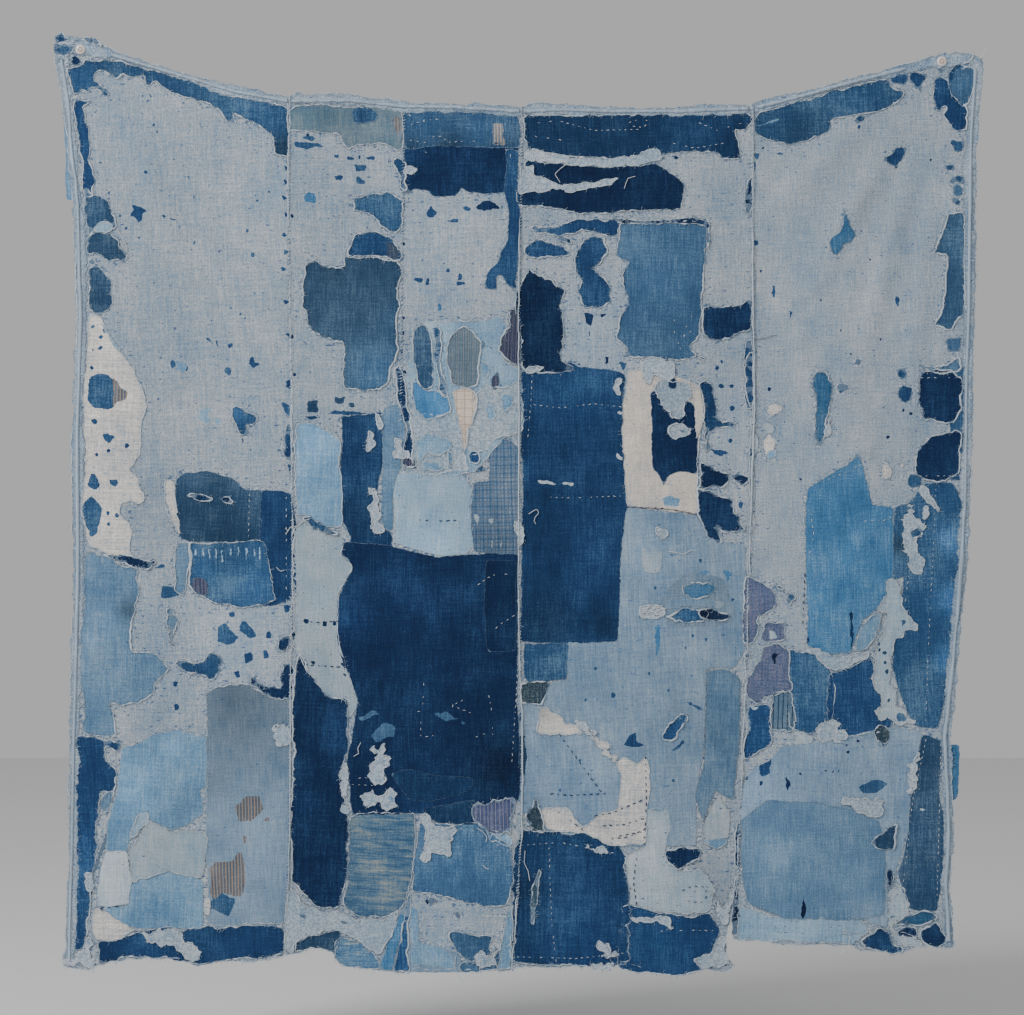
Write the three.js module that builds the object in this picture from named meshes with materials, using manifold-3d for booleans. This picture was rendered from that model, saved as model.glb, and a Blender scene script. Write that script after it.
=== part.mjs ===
// A boro patched cloth: four loom-width panels sewn edge to edge and hung by the two top corners
// from clear-headed pins. Millimetres, +Z up. The origin is on the left pin's axis where the cloth's
// backing surface would be, +X runs towards the right pin and the worn face looks along -Y.
// "across" is a distance to the right of the left pin, "fall" a distance below it.
import * as THREE from 'three';
import { mergeVertices } from 'three/addons/utils/BufferGeometryUtils.js';
import Module from 'manifold-3d';

const wasm = await Module();
wasm.setup();

// Cloth
const clothThickness = 2;
const seamGap = 0.3;
const unevenSeamGap = 0.6; // where the short fourth panel meets the third
const restGap = 2.5; // behind the cloth at the pins
const clothDrop = 1300; // from the pins to the foot
const bow = 9; // how far the slack cloth stands off between the pins
const bowAtTop = 0.45; // share of the slack that the top edge already has
const bowReach = 520; // fall over which that slack builds up
const meshColumns = 10;
const meshRows = 40;
const placingPasses = 4; // the edges lean, so each place is refined this often

// Pins
const pinSpan = 1222;
const rightPinFall = 17;
const headDiameter = 14;
const headDepth = 3.6;
const headRim = 1.2; // straight edge of the domed head
const shankDiameter = 1.1;
const shankInHead = 2.2;
const shankPastCloth = 7;
const pointLength = 3;
const fitGap = 0.3;
const holeLength = 30;
const domeSteps = 5;
const pinFlat = 45; // cloth this near a pin is held flat
const pinReach = 230; // and hangs freely from here on
const roundSides = 24;

// The five long edges from top to bottom: selvedge, three seams, selvedge
const longEdges = [
  { fall: -20, left: -35, seamOne: 297, seamTwo: 627, seamThree: 953, right: 1282 },
  { fall: 28, left: -34, seamOne: 297, seamTwo: 627, seamThree: 953, right: 1280 },
  { fall: 85, left: -27, seamOne: 297, seamTwo: 626, seamThree: 953, right: 1275 },
  { fall: 220, left: -8, seamOne: 296, seamTwo: 623, seamThree: 953, right: 1269 },
  { fall: 370, left: -4, seamOne: 297, seamTwo: 622, seamThree: 954, right: 1268 },
  { fall: 510, left: -9, seamOne: 300, seamTwo: 623, seamThree: 956, right: 1265 },
  { fall: 650, left: -9, seamOne: 301, seamTwo: 622, seamThree: 952, right: 1261 },
  { fall: 760, left: -9, seamOne: 301, seamTwo: 622, seamThree: 948, right: 1254 },
  { fall: 905, left: -12, seamOne: 298, seamTwo: 625, seamThree: 944, right: 1240 },
  { fall: 975, left: -14, seamOne: 298, seamTwo: 627, seamThree: 941, right: 1233 },
  { fall: 1110, left: -15, seamOne: 297, seamTwo: 625, seamThree: 935, right: 1238 },
  { fall: 1182, left: -17, seamOne: 295, seamTwo: 621, seamThree: 932, right: 1234 },
  { fall: 1250, left: -20, seamOne: 292, seamTwo: 617, seamThree: 922, right: 1236 },
  { fall: 1320, left: -25, seamOne: 290, seamTwo: 613, seamThree: 918, right: 1239 },
];

// The top edge sags between the pins
const topEdge = [
  { across: -40, fall: -15 },
  { across: -32, fall: -17 },
  { across: -4, fall: -15 },
  { across: 33, fall: -5 },
  { across: 94, fall: 20 },
  { across: 141, fall: 37 },
  { across: 237, fall: 57 },
  { across: 297, fall: 64 },
  { across: 348, fall: 64 },
  { across: 442, fall: 71 },
  { across: 540, fall: 80 },
  { across: 612, fall: 81 },
  { across: 646, fall: 75 },
  { across: 705, fall: 78 },
  { across: 774, fall: 87 },
  { across: 821, fall: 87 },
  { across: 891, fall: 82 },
  { across: 956, fall: 77 },
  { across: 1007, fall: 61 },
  { across: 1053, fall: 51 },
  { across: 1114, fall: 37 },
  { across: 1159, fall: 21 },
  { across: 1196, fall: 11 },
  { across: 1229, fall: 4 },
  { across: 1261, fall: 8 },
  { across: 1290, fall: 20 },
];

// The worn foot of the first three panels, and of the shorter fourth
const footEdge = [
  { across: -30, fall: 1298 },
  { across: 29, fall: 1291 },
  { across: 145, fall: 1291 },
  { across: 172, fall: 1301 },
  { across: 210, fall: 1294 },
  { across: 289, fall: 1284 },
  { across: 311, fall: 1273 },
  { across: 348, fall: 1275 },
  { across: 377, fall: 1301 },
  { across: 442, fall: 1308 },
  { across: 534, fall: 1302 },
  { across: 612, fall: 1304 },
  { across: 649, fall: 1308 },
  { across: 715, fall: 1305 },
  { across: 770, fall: 1298 },
  { across: 798, fall: 1308 },
  { across: 858, fall: 1312 },
  { across: 930, fall: 1304 },
];
const shortFootEdge = [
  { across: 915, fall: 1258 },
  { across: 938, fall: 1265 },
  { across: 1016, fall: 1265 },
  { across: 1095, fall: 1268 },
  { across: 1122, fall: 1275 },
  { across: 1165, fall: 1277 },
  { across: 1192, fall: 1273 },
  { across: 1245, fall: 1275 },
];

// The third seam is open at the foot
const slit = { startFall: 1150, endFall: 1260, opening: 9 };

// Soft upright folds. Their height changes from head to foot, and below zero they are hollows.
const uprightFolds = [
  { head: 60, foot: 48, halfWidth: 80, headHeight: 0.5, footHeight: 6 },
  { head: 180, foot: 165, halfWidth: 70, headHeight: -1.5, footHeight: -5 },
  { head: 300, foot: 282, halfWidth: 75, headHeight: 2, footHeight: 7 },
  { head: 420, foot: 392, halfWidth: 70, headHeight: -2, footHeight: -5 },
  { head: 560, foot: 540, halfWidth: 95, headHeight: 2.5, footHeight: 5 },
  { head: 690, foot: 676, halfWidth: 85, headHeight: -2.5, footHeight: -6 },
  { head: 840, foot: 815, halfWidth: 90, headHeight: 2, footHeight: 6 },
  { head: 960, foot: 928, halfWidth: 70, headHeight: -2, footHeight: -6 },
  { head: 1080, foot: 1040, halfWidth: 85, headHeight: 1.5, footHeight: 7 },
  { head: 1200, foot: 1150, halfWidth: 70, headHeight: -1, footHeight: -5 },
];

// Drag folds and creases, each from one end to the other
const dragFolds = [
  { fromAcross: 10, fromFall: 20, toAcross: 175, toFall: 330, halfWidth: 26, height: 3 },
  { fromAcross: 30, fromFall: 15, toAcross: 330, toFall: 190, halfWidth: 28, height: 2.5 },
  { fromAcross: 0, fromFall: 30, toAcross: 70, toFall: 470, halfWidth: 30, height: 2.5 },
  { fromAcross: 1190, fromFall: 30, toAcross: 905, toFall: 300, halfWidth: 30, height: 3.5 },
  { fromAcross: 1205, fromFall: 40, toAcross: 985, toFall: 420, halfWidth: 28, height: 5 },
  { fromAcross: 1215, fromFall: 50, toAcross: 1080, toFall: 520, halfWidth: 26, height: 4.5 },
  { fromAcross: 1225, fromFall: 60, toAcross: 1165, toFall: 610, halfWidth: 26, height: 3.5 },
  { fromAcross: 1170, fromFall: 520, toAcross: 1010, toFall: 640, halfWidth: 22, height: 3 },
  { fromAcross: 1180, fromFall: 600, toAcross: 1060, toFall: 760, halfWidth: 20, height: 2.5 },
  { fromAcross: 478, fromFall: 1200, toAcross: 470, toFall: 1360, halfWidth: 20, height: 6 },
  { fromAcross: 60, fromFall: 640, toAcross: 150, toFall: 900, halfWidth: 24, height: 2 },
  { fromAcross: 770, fromFall: 830, toAcross: 900, toFall: 1040, halfWidth: 26, height: 2.5 },
];

// Value of one column of a table at a place along another column
function readTable(rows, key, value, place) {
  if (place <= rows[0][key]) return rows[0][value];
  for (let i = 1; i < rows.length; i += 1) {
    const low = rows[i - 1];
    const high = rows[i];
    if (place <= high[key]) {
      const share = (place - low[key]) / (high[key] - low[key]);
      return THREE.MathUtils.lerp(low[value], high[value], share);
    }
  }
  return rows[rows.length - 1][value];
}

// A smooth hump, 1 in the middle and 0 from one half width on
function hump(distance, halfWidth) {
  const share = Math.min(1, Math.abs(distance) / halfWidth);
  return 0.5 + 0.5 * Math.cos(Math.PI * share);
}

function uprightRelief(across, fall) {
  const down = THREE.MathUtils.clamp(fall / clothDrop, 0, 1);
  return uprightFolds.reduce((sum, fold) => {
    const middle = THREE.MathUtils.lerp(fold.head, fold.foot, down);
    const height = THREE.MathUtils.lerp(fold.headHeight, fold.footHeight, down);
    return sum + height * hump(across - middle, fold.halfWidth);
  }, 0);
}

function dragRelief(across, fall) {
  return dragFolds.reduce((sum, fold) => {
    const runAcross = fold.toAcross - fold.fromAcross;
    const runFall = fold.toFall - fold.fromFall;
    const length = Math.hypot(runAcross, runFall);
    const along = ((across - fold.fromAcross) * runAcross + (fall - fold.fromFall) * runFall) / length;
    const aside = ((across - fold.fromAcross) * runFall - (fall - fold.fromFall) * runAcross) / length;
    return sum + fold.height * hump(aside, fold.halfWidth) * hump(along - length / 2, length / 2);
  }, 0);
}

// Distance of the cloth's back from the surface it hangs on
function standOff(across, fall) {
  const pinDistance = Math.min(
    Math.hypot(across, fall),
    Math.hypot(across - pinSpan, fall - rightPinFall),
  );
  const free = THREE.MathUtils.smoothstep(pinDistance, pinFlat, pinReach);
  const built = 1 - Math.exp(-Math.max(0, fall) / bowReach);
  const slack = bow * THREE.MathUtils.lerp(bowAtTop, 1, built);
  return restGap + free * (slack + uprightRelief(across, fall) + dragRelief(across, fall));
}

// Places on one panel between its long edges. share is 0 at its left edge and 1 at its right.
function panelPoint(panel, share, down) {
  let across = 0;
  let fall = clothDrop / 2;
  for (let pass = 0; pass < placingPasses; pass += 1) {
    const opening = slit.opening * THREE.MathUtils.smoothstep(fall, slit.startFall, slit.endFall);
    const left = readTable(longEdges, 'fall', panel.left, fall) + panel.leftGap(opening);
    const right = readTable(longEdges, 'fall', panel.right, fall) - panel.rightGap(opening);
    across = THREE.MathUtils.lerp(left, right, share);
    const top = readTable(topEdge, 'across', 'fall', across);
    const foot = readTable(panel.footTable, 'across', 'fall', across);
    fall = THREE.MathUtils.lerp(top, foot, down);
  }
  return { across, fall };
}

// One closed sheet: front and back grids joined along the four edges
function panelGeometry(panel) {
  const positions = [];
  const indices = [];
  const stride = meshColumns + 1;
  const layer = stride * (meshRows + 1);
  for (const thickness of [clothThickness, 0]) {
    for (let row = 0; row <= meshRows; row += 1) {
      for (let column = 0; column <= meshColumns; column += 1) {
        const { across, fall } = panelPoint(panel, column / meshColumns, row / meshRows);
        positions.push(across, -standOff(across, fall) - thickness, -fall);
      }
    }
  }
  const quad = (a, b, c, d) => indices.push(a, b, c, a, c, d);
  for (let row = 0; row < meshRows; row += 1) {
    for (let column = 0; column < meshColumns; column += 1) {
      const corner = row * stride + column;
      quad(corner, corner + stride, corner + stride + 1, corner + 1);
      quad(layer + corner, layer + corner + 1, layer + corner + stride + 1, layer + corner + stride);
    }
  }
  for (let column = 0; column < meshColumns; column += 1) {
    const foot = meshRows * stride + column;
    quad(column, column + 1, layer + column + 1, layer + column);
    quad(foot, layer + foot, layer + foot + 1, foot + 1);
  }
  for (let row = 0; row < meshRows; row += 1) {
    const left = row * stride;
    const right = left + meshColumns;
    quad(left, layer + left, layer + left + stride, left + stride);
    quad(right, right + stride, layer + right + stride, layer + right);
  }
  const geometry = new THREE.BufferGeometry();
  geometry.setAttribute('position', new THREE.Float32BufferAttribute(positions, 3));
  geometry.setIndex(indices);
  return geometry;
}

function toSolid(geometry) {
  const bare = geometry.clone();
  bare.deleteAttribute('normal');
  bare.deleteAttribute('uv');
  const merged = mergeVertices(bare, 1e-4);
  return new wasm.Manifold(new wasm.Mesh({
    numProp: 3,
    vertProperties: Float32Array.from(merged.attributes.position.array),
    triVerts: Uint32Array.from(merged.index.array),
  }));
}

function toGeometry(solid) {
  const mesh = solid.getMesh();
  const geometry = new THREE.BufferGeometry();
  geometry.setAttribute('position', new THREE.BufferAttribute(mesh.vertProperties, 3));
  geometry.setIndex(new THREE.BufferAttribute(mesh.triVerts, 1));
  return geometry;
}

// The hole that a pin's shank makes through the cloth, with running room
function pinHole(pin) {
  const hole = new THREE.CylinderGeometry(
    shankDiameter / 2 + fitGap, shankDiameter / 2 + fitGap, holeLength, roundSides,
  );
  hole.translate(pin.across, 0, -pin.fall);
  return hole;
}

// A domed clear disc with a blind socket in its back for the shank. The profile runs from the
// dome's crown round the rim and back to the socket's floor.
function headGeometry() {
  const radius = headDiameter / 2;
  const socketRadius = shankDiameter / 2 + fitGap;
  const dome = headDepth - headRim;
  const profile = [new THREE.Vector2(0, headDepth)];
  for (let step = 1; step <= domeSteps; step += 1) {
    const turn = (step / domeSteps) * (Math.PI / 2);
    profile.push(new THREE.Vector2(radius * Math.sin(turn), headRim + dome * Math.cos(turn)));
  }
  profile.push(new THREE.Vector2(radius, 0));
  profile.push(new THREE.Vector2(socketRadius, 0));
  profile.push(new THREE.Vector2(socketRadius, shankInHead + fitGap));
  profile.push(new THREE.Vector2(0, shankInHead + fitGap));
  return new THREE.LatheGeometry(profile.reverse(), roundSides);
}

// A steel shank from inside the head to its point
function shankGeometry() {
  const radius = shankDiameter / 2;
  const tip = -(fitGap + clothThickness + restGap + shankPastCloth);
  const profile = [
    new THREE.Vector2(0, tip),
    new THREE.Vector2(radius, tip + pointLength),
    new THREE.Vector2(radius, shankInHead),
    new THREE.Vector2(0, shankInHead),
  ];
  return new THREE.LatheGeometry(profile, roundSides);
}

const pins = {
  left: { across: 0, fall: 0 },
  right: { across: pinSpan, fall: rightPinFall },
};
const sewn = () => seamGap / 2;
const open = (opening) => (unevenSeamGap + opening) / 2;
const panels = [
  { name: 'panel_1', left: 'left', right: 'seamOne', footTable: footEdge,
    leftGap: sewn, rightGap: sewn, pin: pins.left, color: 0x9fb2c6 },
  { name: 'panel_2', left: 'seamOne', right: 'seamTwo', footTable: footEdge,
    leftGap: sewn, rightGap: sewn, color: 0x2f5580 },
  { name: 'panel_3', left: 'seamTwo', right: 'seamThree', footTable: footEdge,
    leftGap: sewn, rightGap: open, color: 0x4f7398 },
  { name: 'panel_4', left: 'seamThree', right: 'right', footTable: shortFootEdge,
    leftGap: open, rightGap: sewn, pin: pins.right, color: 0x8ea6bf },
];

const cloth = new THREE.Group();
for (const panel of panels) {
  let geometry = panelGeometry(panel);
  if (panel.pin) geometry = toGeometry(toSolid(geometry).subtract(toSolid(pinHole(panel.pin))));
  const material = new THREE.MeshStandardMaterial({ color: panel.color, roughness: 0.95, metalness: 0 });
  const mesh = new THREE.Mesh(geometry, material);
  mesh.name = panel.name;
  cloth.add(mesh);
}

const clearPlastic = new THREE.MeshStandardMaterial({ color: 0xe6e4dc, roughness: 0.15, metalness: 0 });
const steel = new THREE.MeshStandardMaterial({ color: 0xa8a8a8, roughness: 0.35, metalness: 1 });
for (const [side, place] of Object.entries(pins)) {
  const pin = new THREE.Group();
  pin.position.set(place.across, -(restGap + clothThickness + fitGap), -place.fall);
  pin.rotation.x = Math.PI; // the head's crown looks along -Y
  const head = new THREE.Mesh(headGeometry(), clearPlastic);
  head.name = `pin_head_${side}`;
  const shank = new THREE.Mesh(shankGeometry(), steel);
  shank.name = `pin_shank_${side}`;
  pin.add(head, shank);
  cloth.add(pin);
}

export default cloth;
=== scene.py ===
import math
import random
import bpy
import numpy as np
import mathutils
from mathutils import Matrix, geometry, kdtree


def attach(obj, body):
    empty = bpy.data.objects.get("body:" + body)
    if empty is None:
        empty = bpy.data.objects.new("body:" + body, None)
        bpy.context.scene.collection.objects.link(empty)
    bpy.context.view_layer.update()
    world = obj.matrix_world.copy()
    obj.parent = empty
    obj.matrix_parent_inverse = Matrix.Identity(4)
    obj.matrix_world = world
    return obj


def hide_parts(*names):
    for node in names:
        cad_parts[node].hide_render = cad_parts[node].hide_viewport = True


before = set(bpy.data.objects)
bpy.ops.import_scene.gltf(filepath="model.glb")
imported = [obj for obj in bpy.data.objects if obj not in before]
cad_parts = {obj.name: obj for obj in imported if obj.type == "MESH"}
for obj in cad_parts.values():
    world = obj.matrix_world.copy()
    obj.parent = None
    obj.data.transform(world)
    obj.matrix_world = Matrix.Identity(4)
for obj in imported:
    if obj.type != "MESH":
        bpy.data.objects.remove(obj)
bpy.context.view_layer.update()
print("frame loaded")

# where the cloth is in the picture
mmPerPixel = 1.42
leftPinPixel = (80.8, 49.9)

# how it hangs, in millimetres
restGap = 2.5
clothDrop = 1300
bow = 9
bowAtTop = 0.45
bowReach = 520
pinSpan = 1222
rightPinFall = 17
pinFlat = 45
pinReach = 230

# layers of cloth, in millimetres
baseLift = 0.8
layerStep = 0.7
sheetDepth = 0.4
latticeStep = 7.0
edgeStep = 2.4
clearOfEdge = 1.7  # no lattice point is nearer to an outline
markSink = 0.3  # small marks lie a little deeper than their cloth
ownStep = 0.02  # of a layer, so that no two cloths share a plane

# head, foot, half width, height at the head, height at the foot
uprightFolds = [
    (60, 48, 80, 0.5, 6), (180, 165, 70, -1.5, -5), (300, 282, 75, 2, 7), (420, 392, 70, -2, -5),
    (560, 540, 95, 2.5, 5), (690, 676, 85, -2.5, -6), (840, 815, 90, 2, 6), (960, 928, 70, -2, -6),
    (1080, 1040, 85, 1.5, 7), (1200, 1150, 70, -1, -5),
]
# from across, from fall, to across, to fall, half width, height
dragFolds = [
    (10, 20, 175, 330, 26, 3), (30, 15, 330, 190, 28, 2.5), (0, 30, 70, 470, 30, 2.5),
    (1190, 30, 905, 300, 30, 3.5), (1205, 40, 985, 420, 28, 5), (1215, 50, 1080, 520, 26, 4.5),
    (1225, 60, 1165, 610, 26, 3.5), (1170, 520, 1010, 640, 22, 3), (1180, 600, 1060, 760, 20, 2.5),
    (478, 1200, 470, 1360, 20, 6), (60, 640, 150, 900, 24, 2), (770, 830, 900, 1040, 26, 2.5),
]
# soft creases that the worn cloth keeps, same order
smallCreases = [
    (70, 260, 75, 640, 8, 1.4), (15, 720, 22, 930, 7, 1.5), (60, 1217, 175, 1238, 8, 1.8),
    (500, 610, 620, 640, 9, -1.6), (440, 1022, 560, 1030, 9, 1.7), (1090, 690, 1092, 860, 8, 1.8),
    (770, 655, 900, 665, 10, 1.6), (905, 250, 890, 330, 9, -1.6), (980, 1110, 975, 1230, 9, 1.6),
    (1110, 1090, 1100, 1230, 9, -1.6), (330, 560, 420, 470, 10, 1.6), (860, 340, 960, 330, 10, 1.6),
    (180, 930, 290, 905, 9, 1.8), (200, 1190, 290, 1170, 10, 1.7), (640, 1195, 880, 1180, 9, 1.9),
    (700, 230, 880, 218, 10, 1.6), (640, 130, 900, 122, 9, 1.3), (980, 1180, 1050, 1100, 11, 1.8),
    (1130, 940, 1160, 1130, 9, 1.6), (150, 250, 260, 300, 12, 1.4), (990, 380, 1090, 300, 12, 1.6),
    (380, 900, 600, 860, 14, 1.6), (790, 900, 880, 980, 13, 1.8), (30, 470, 60, 600, 9, 1.5),
]
seamPlaces = (297, 625, 951)

waveDice = random.Random(11)
waves = [(waveDice.uniform(24, 70), waveDice.uniform(0, 6.28), waveDice.uniform(0, 6.28)) for _ in range(22)]


def hump(distance, halfWidth):
    share = np.minimum(1.0, np.abs(distance) / halfWidth)
    return 0.5 + 0.5 * np.cos(math.pi * share)


def creaseHeight(across, fall, folds):
    total = 0.0 * across
    for fromAcross, fromFall, toAcross, toFall, halfWidth, height in folds:
        runAcross = toAcross - fromAcross
        runFall = toFall - fromFall
        length = math.hypot(runAcross, runFall)
        along = ((across - fromAcross) * runAcross + (fall - fromFall) * runFall) / length
        aside = ((across - fromAcross) * runFall - (fall - fromFall) * runAcross) / length
        total = total + height * hump(aside, halfWidth) * hump(along - length / 2, length / 2)
    return total


def standOff(across, fall):
    nearLeft = np.hypot(across, fall)
    nearRight = np.hypot(across - pinSpan, fall - rightPinFall)
    free = np.clip((np.minimum(nearLeft, nearRight) - pinFlat) / (pinReach - pinFlat), 0, 1)
    free = free * free * (3 - 2 * free)
    down = np.clip(fall / clothDrop, 0, 1)
    slack = bow * (bowAtTop + (1 - bowAtTop) * (1 - np.exp(-np.maximum(0, fall) / bowReach)))
    relief = creaseHeight(across, fall, dragFolds) + creaseHeight(across, fall, smallCreases)
    for head, foot, halfWidth, headHeight, footHeight in uprightFolds:
        middle = head + (foot - head) * down
        relief = relief + (headHeight + (footHeight - headHeight) * down) * hump(across - middle, halfWidth)
    for length, heading, start in waves:
        turn = across * math.cos(heading) + fall * math.sin(heading)
        relief = relief + 0.14 * np.sin(6.2832 / length * turn + start)
    for seam in seamPlaces:  # sewn edges pull the cloth into small puckers
        near = np.exp(-((across - seam) / 13) ** 2)
        relief = relief + near * (0.5 + 0.35 * np.sin(fall / 4.4 + 2 * np.sin(fall / 31)))
    return restGap + free * (slack + relief)


def lift(spots, level):
    # spots are across and up in millimetres, level 0 is the worn ground cloth
    across = spots[:, 0]
    away = standOff(across, -spots[:, 1]) + baseLift + layerStep * level
    return np.column_stack((across, -away, spots[:, 1])) / 1000


def place(points):
    spots = np.array(points, dtype=float)
    return np.column_stack((spots[:, 0] - leftPinPixel[0], leftPinPixel[1] - spots[:, 1])) * mmPerPixel


def box(left, top, right, foot):
    return [(left, top), (right, top), (right, foot), (left, foot)]


def oval(u, v, halfAcross, halfDown, lean=0.0):
    turns = [i * math.tau / 9 for i in range(9)]
    flat = [(halfAcross * math.cos(a), halfDown * math.sin(a)) for a in turns]
    cosine, sine = math.cos(lean), math.sin(lean)
    return [(u + x * cosine - y * sine, v + x * sine + y * cosine) for x, y in flat]


def dots(spots):
    return [oval(u, v, size, size * 1.2) for u, v, size in spots]


def smoothRound(values, width):
    # circular smoothing along a closed outline
    count = len(values)
    waveNumber = np.fft.fftfreq(count)
    keep = np.exp(-2 * (math.pi * waveNumber * width) ** 2)
    if values.ndim == 2:
        keep = keep[:, None]
    return np.real(np.fft.ifft(np.fft.fft(values, axis=0) * keep, axis=0))


def inside(spots, loop):
    # even and odd crossings of a line to the right, near the loop's box only
    found = np.zeros(len(spots), dtype=bool)
    low = loop.min(axis=0)
    high = loop.max(axis=0)
    near = np.nonzero(np.all((spots >= low) & (spots <= high), axis=1))[0]
    if len(near) == 0:
        return found
    x = spots[near, 0][:, None]
    y = spots[near, 1][:, None]
    ahead = np.roll(loop, -1, axis=0)
    crosses = (loop[:, 1] > y) != (ahead[:, 1] > y)
    rise = np.where(np.abs(ahead[:, 1] - loop[:, 1]) < 1e-9, 1e-9, ahead[:, 1] - loop[:, 1])
    meet = loop[:, 0] + (y - loop[:, 1]) / rise * (ahead[:, 0] - loop[:, 0])
    found[near] = np.sum(crosses & (x < meet), axis=1) % 2 == 1
    return found


def nearest(spots):
    found = kdtree.KDTree(len(spots))
    for i, spot in enumerate(spots):
        found.insert((spot[0], spot[1], 0), i)
    found.balance()
    return found


def clothLoop(points, ragged, dice, soften=1.3):
    corners = place(points)
    following = np.roll(corners, -1, axis=0)
    if np.sum(corners[:, 0] * following[:, 1] - corners[:, 1] * following[:, 0]) < 0:
        corners = corners[::-1]
        following = np.roll(corners, -1, axis=0)
    steps = [max(1, int(round(np.linalg.norm(b - a) / edgeStep))) for a, b in zip(corners, following)]
    pieces = [a + (b - a) * np.arange(n)[:, None] / n for a, b, n in zip(corners, following, steps)]
    loop = np.vstack(pieces)
    if len(loop) < 6:
        return loop
    loop = smoothRound(loop, soften)
    tangent = np.roll(loop, -1, axis=0) - np.roll(loop, 1, axis=0)
    length = np.linalg.norm(tangent, axis=1)[:, None] + 1e-6
    aside = np.column_stack((-tangent[:, 1], tangent[:, 0])) / length
    push = np.zeros(len(loop))
    for width, share in ((0.55, 0.8), (1.6, 1.2), (4.0, 1.3), (9.0, 0.8)):
        rough = smoothRound(dice.standard_normal(len(loop)), width)
        rough = rough - rough.mean()
        push += share * rough / max(rough.std(), 0.06)
    loop = loop + aside * (push * ragged ** 3 * 0.95)[:, None]
    # single weft threads end where they like, the warp holds better
    loop[:, 0] += ragged ** 2 * 0.6 * dice.standard_normal(len(loop))
    loop[:, 1] += ragged ** 2 * 0.3 * dice.standard_normal(len(loop))
    return loop


def tint(colour):
    return [(c / 255 / 12.92 if c < 10.3 else ((c / 255 + 0.055) / 1.055) ** 2.4) for c in colour] + [1.0]


def node(tree, kind, **settings):
    made = tree.nodes.new(kind)
    for key, value in settings.items():
        setattr(made, key, value)
    return made


def maths(tree, operation, first, second=None):
    made = node(tree, "ShaderNodeMath", operation=operation)
    for socket, value in zip(made.inputs, (first, second)):
        if value is None:
            continue
        if isinstance(value, (int, float)):
            socket.default_value = value
        else:
            tree.links.new(value, socket)
    return made.outputs[0]


def ranged(tree, value, low, high, fromThis=0.0, toThis=1.0):
    made = node(tree, "ShaderNodeMapRange")
    for label, setting in (("From Min", low), ("From Max", high), ("To Min", fromThis), ("To Max", toThis)):
        made.inputs[label].default_value = setting
    tree.links.new(value, made.inputs["Value"])
    return made.outputs[0]


def noise(tree, vector, across, down, detail=2.0, kind="Fac"):
    stretch = node(tree, "ShaderNodeVectorMath", operation="MULTIPLY")
    stretch.inputs[1].default_value = (across, down, 1.0)
    tree.links.new(vector, stretch.inputs[0])
    made = node(tree, "ShaderNodeTexNoise")
    made.inputs["Scale"].default_value = 1.0
    made.inputs["Detail"].default_value = detail
    made.inputs["Roughness"].default_value = 0.6
    tree.links.new(stretch.outputs[0], made.inputs["Vector"])
    return made.outputs[kind]


def mixed(tree, share, first, second):
    made = node(tree, "ShaderNodeMix", data_type="RGBA")
    for socket, value in zip((made.inputs[0], made.inputs[6], made.inputs[7]), (share, first, second)):
        if isinstance(value, (int, float, list)):
            socket.default_value = value
        else:
            tree.links.new(value, socket)
    return made.outputs[2]


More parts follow.
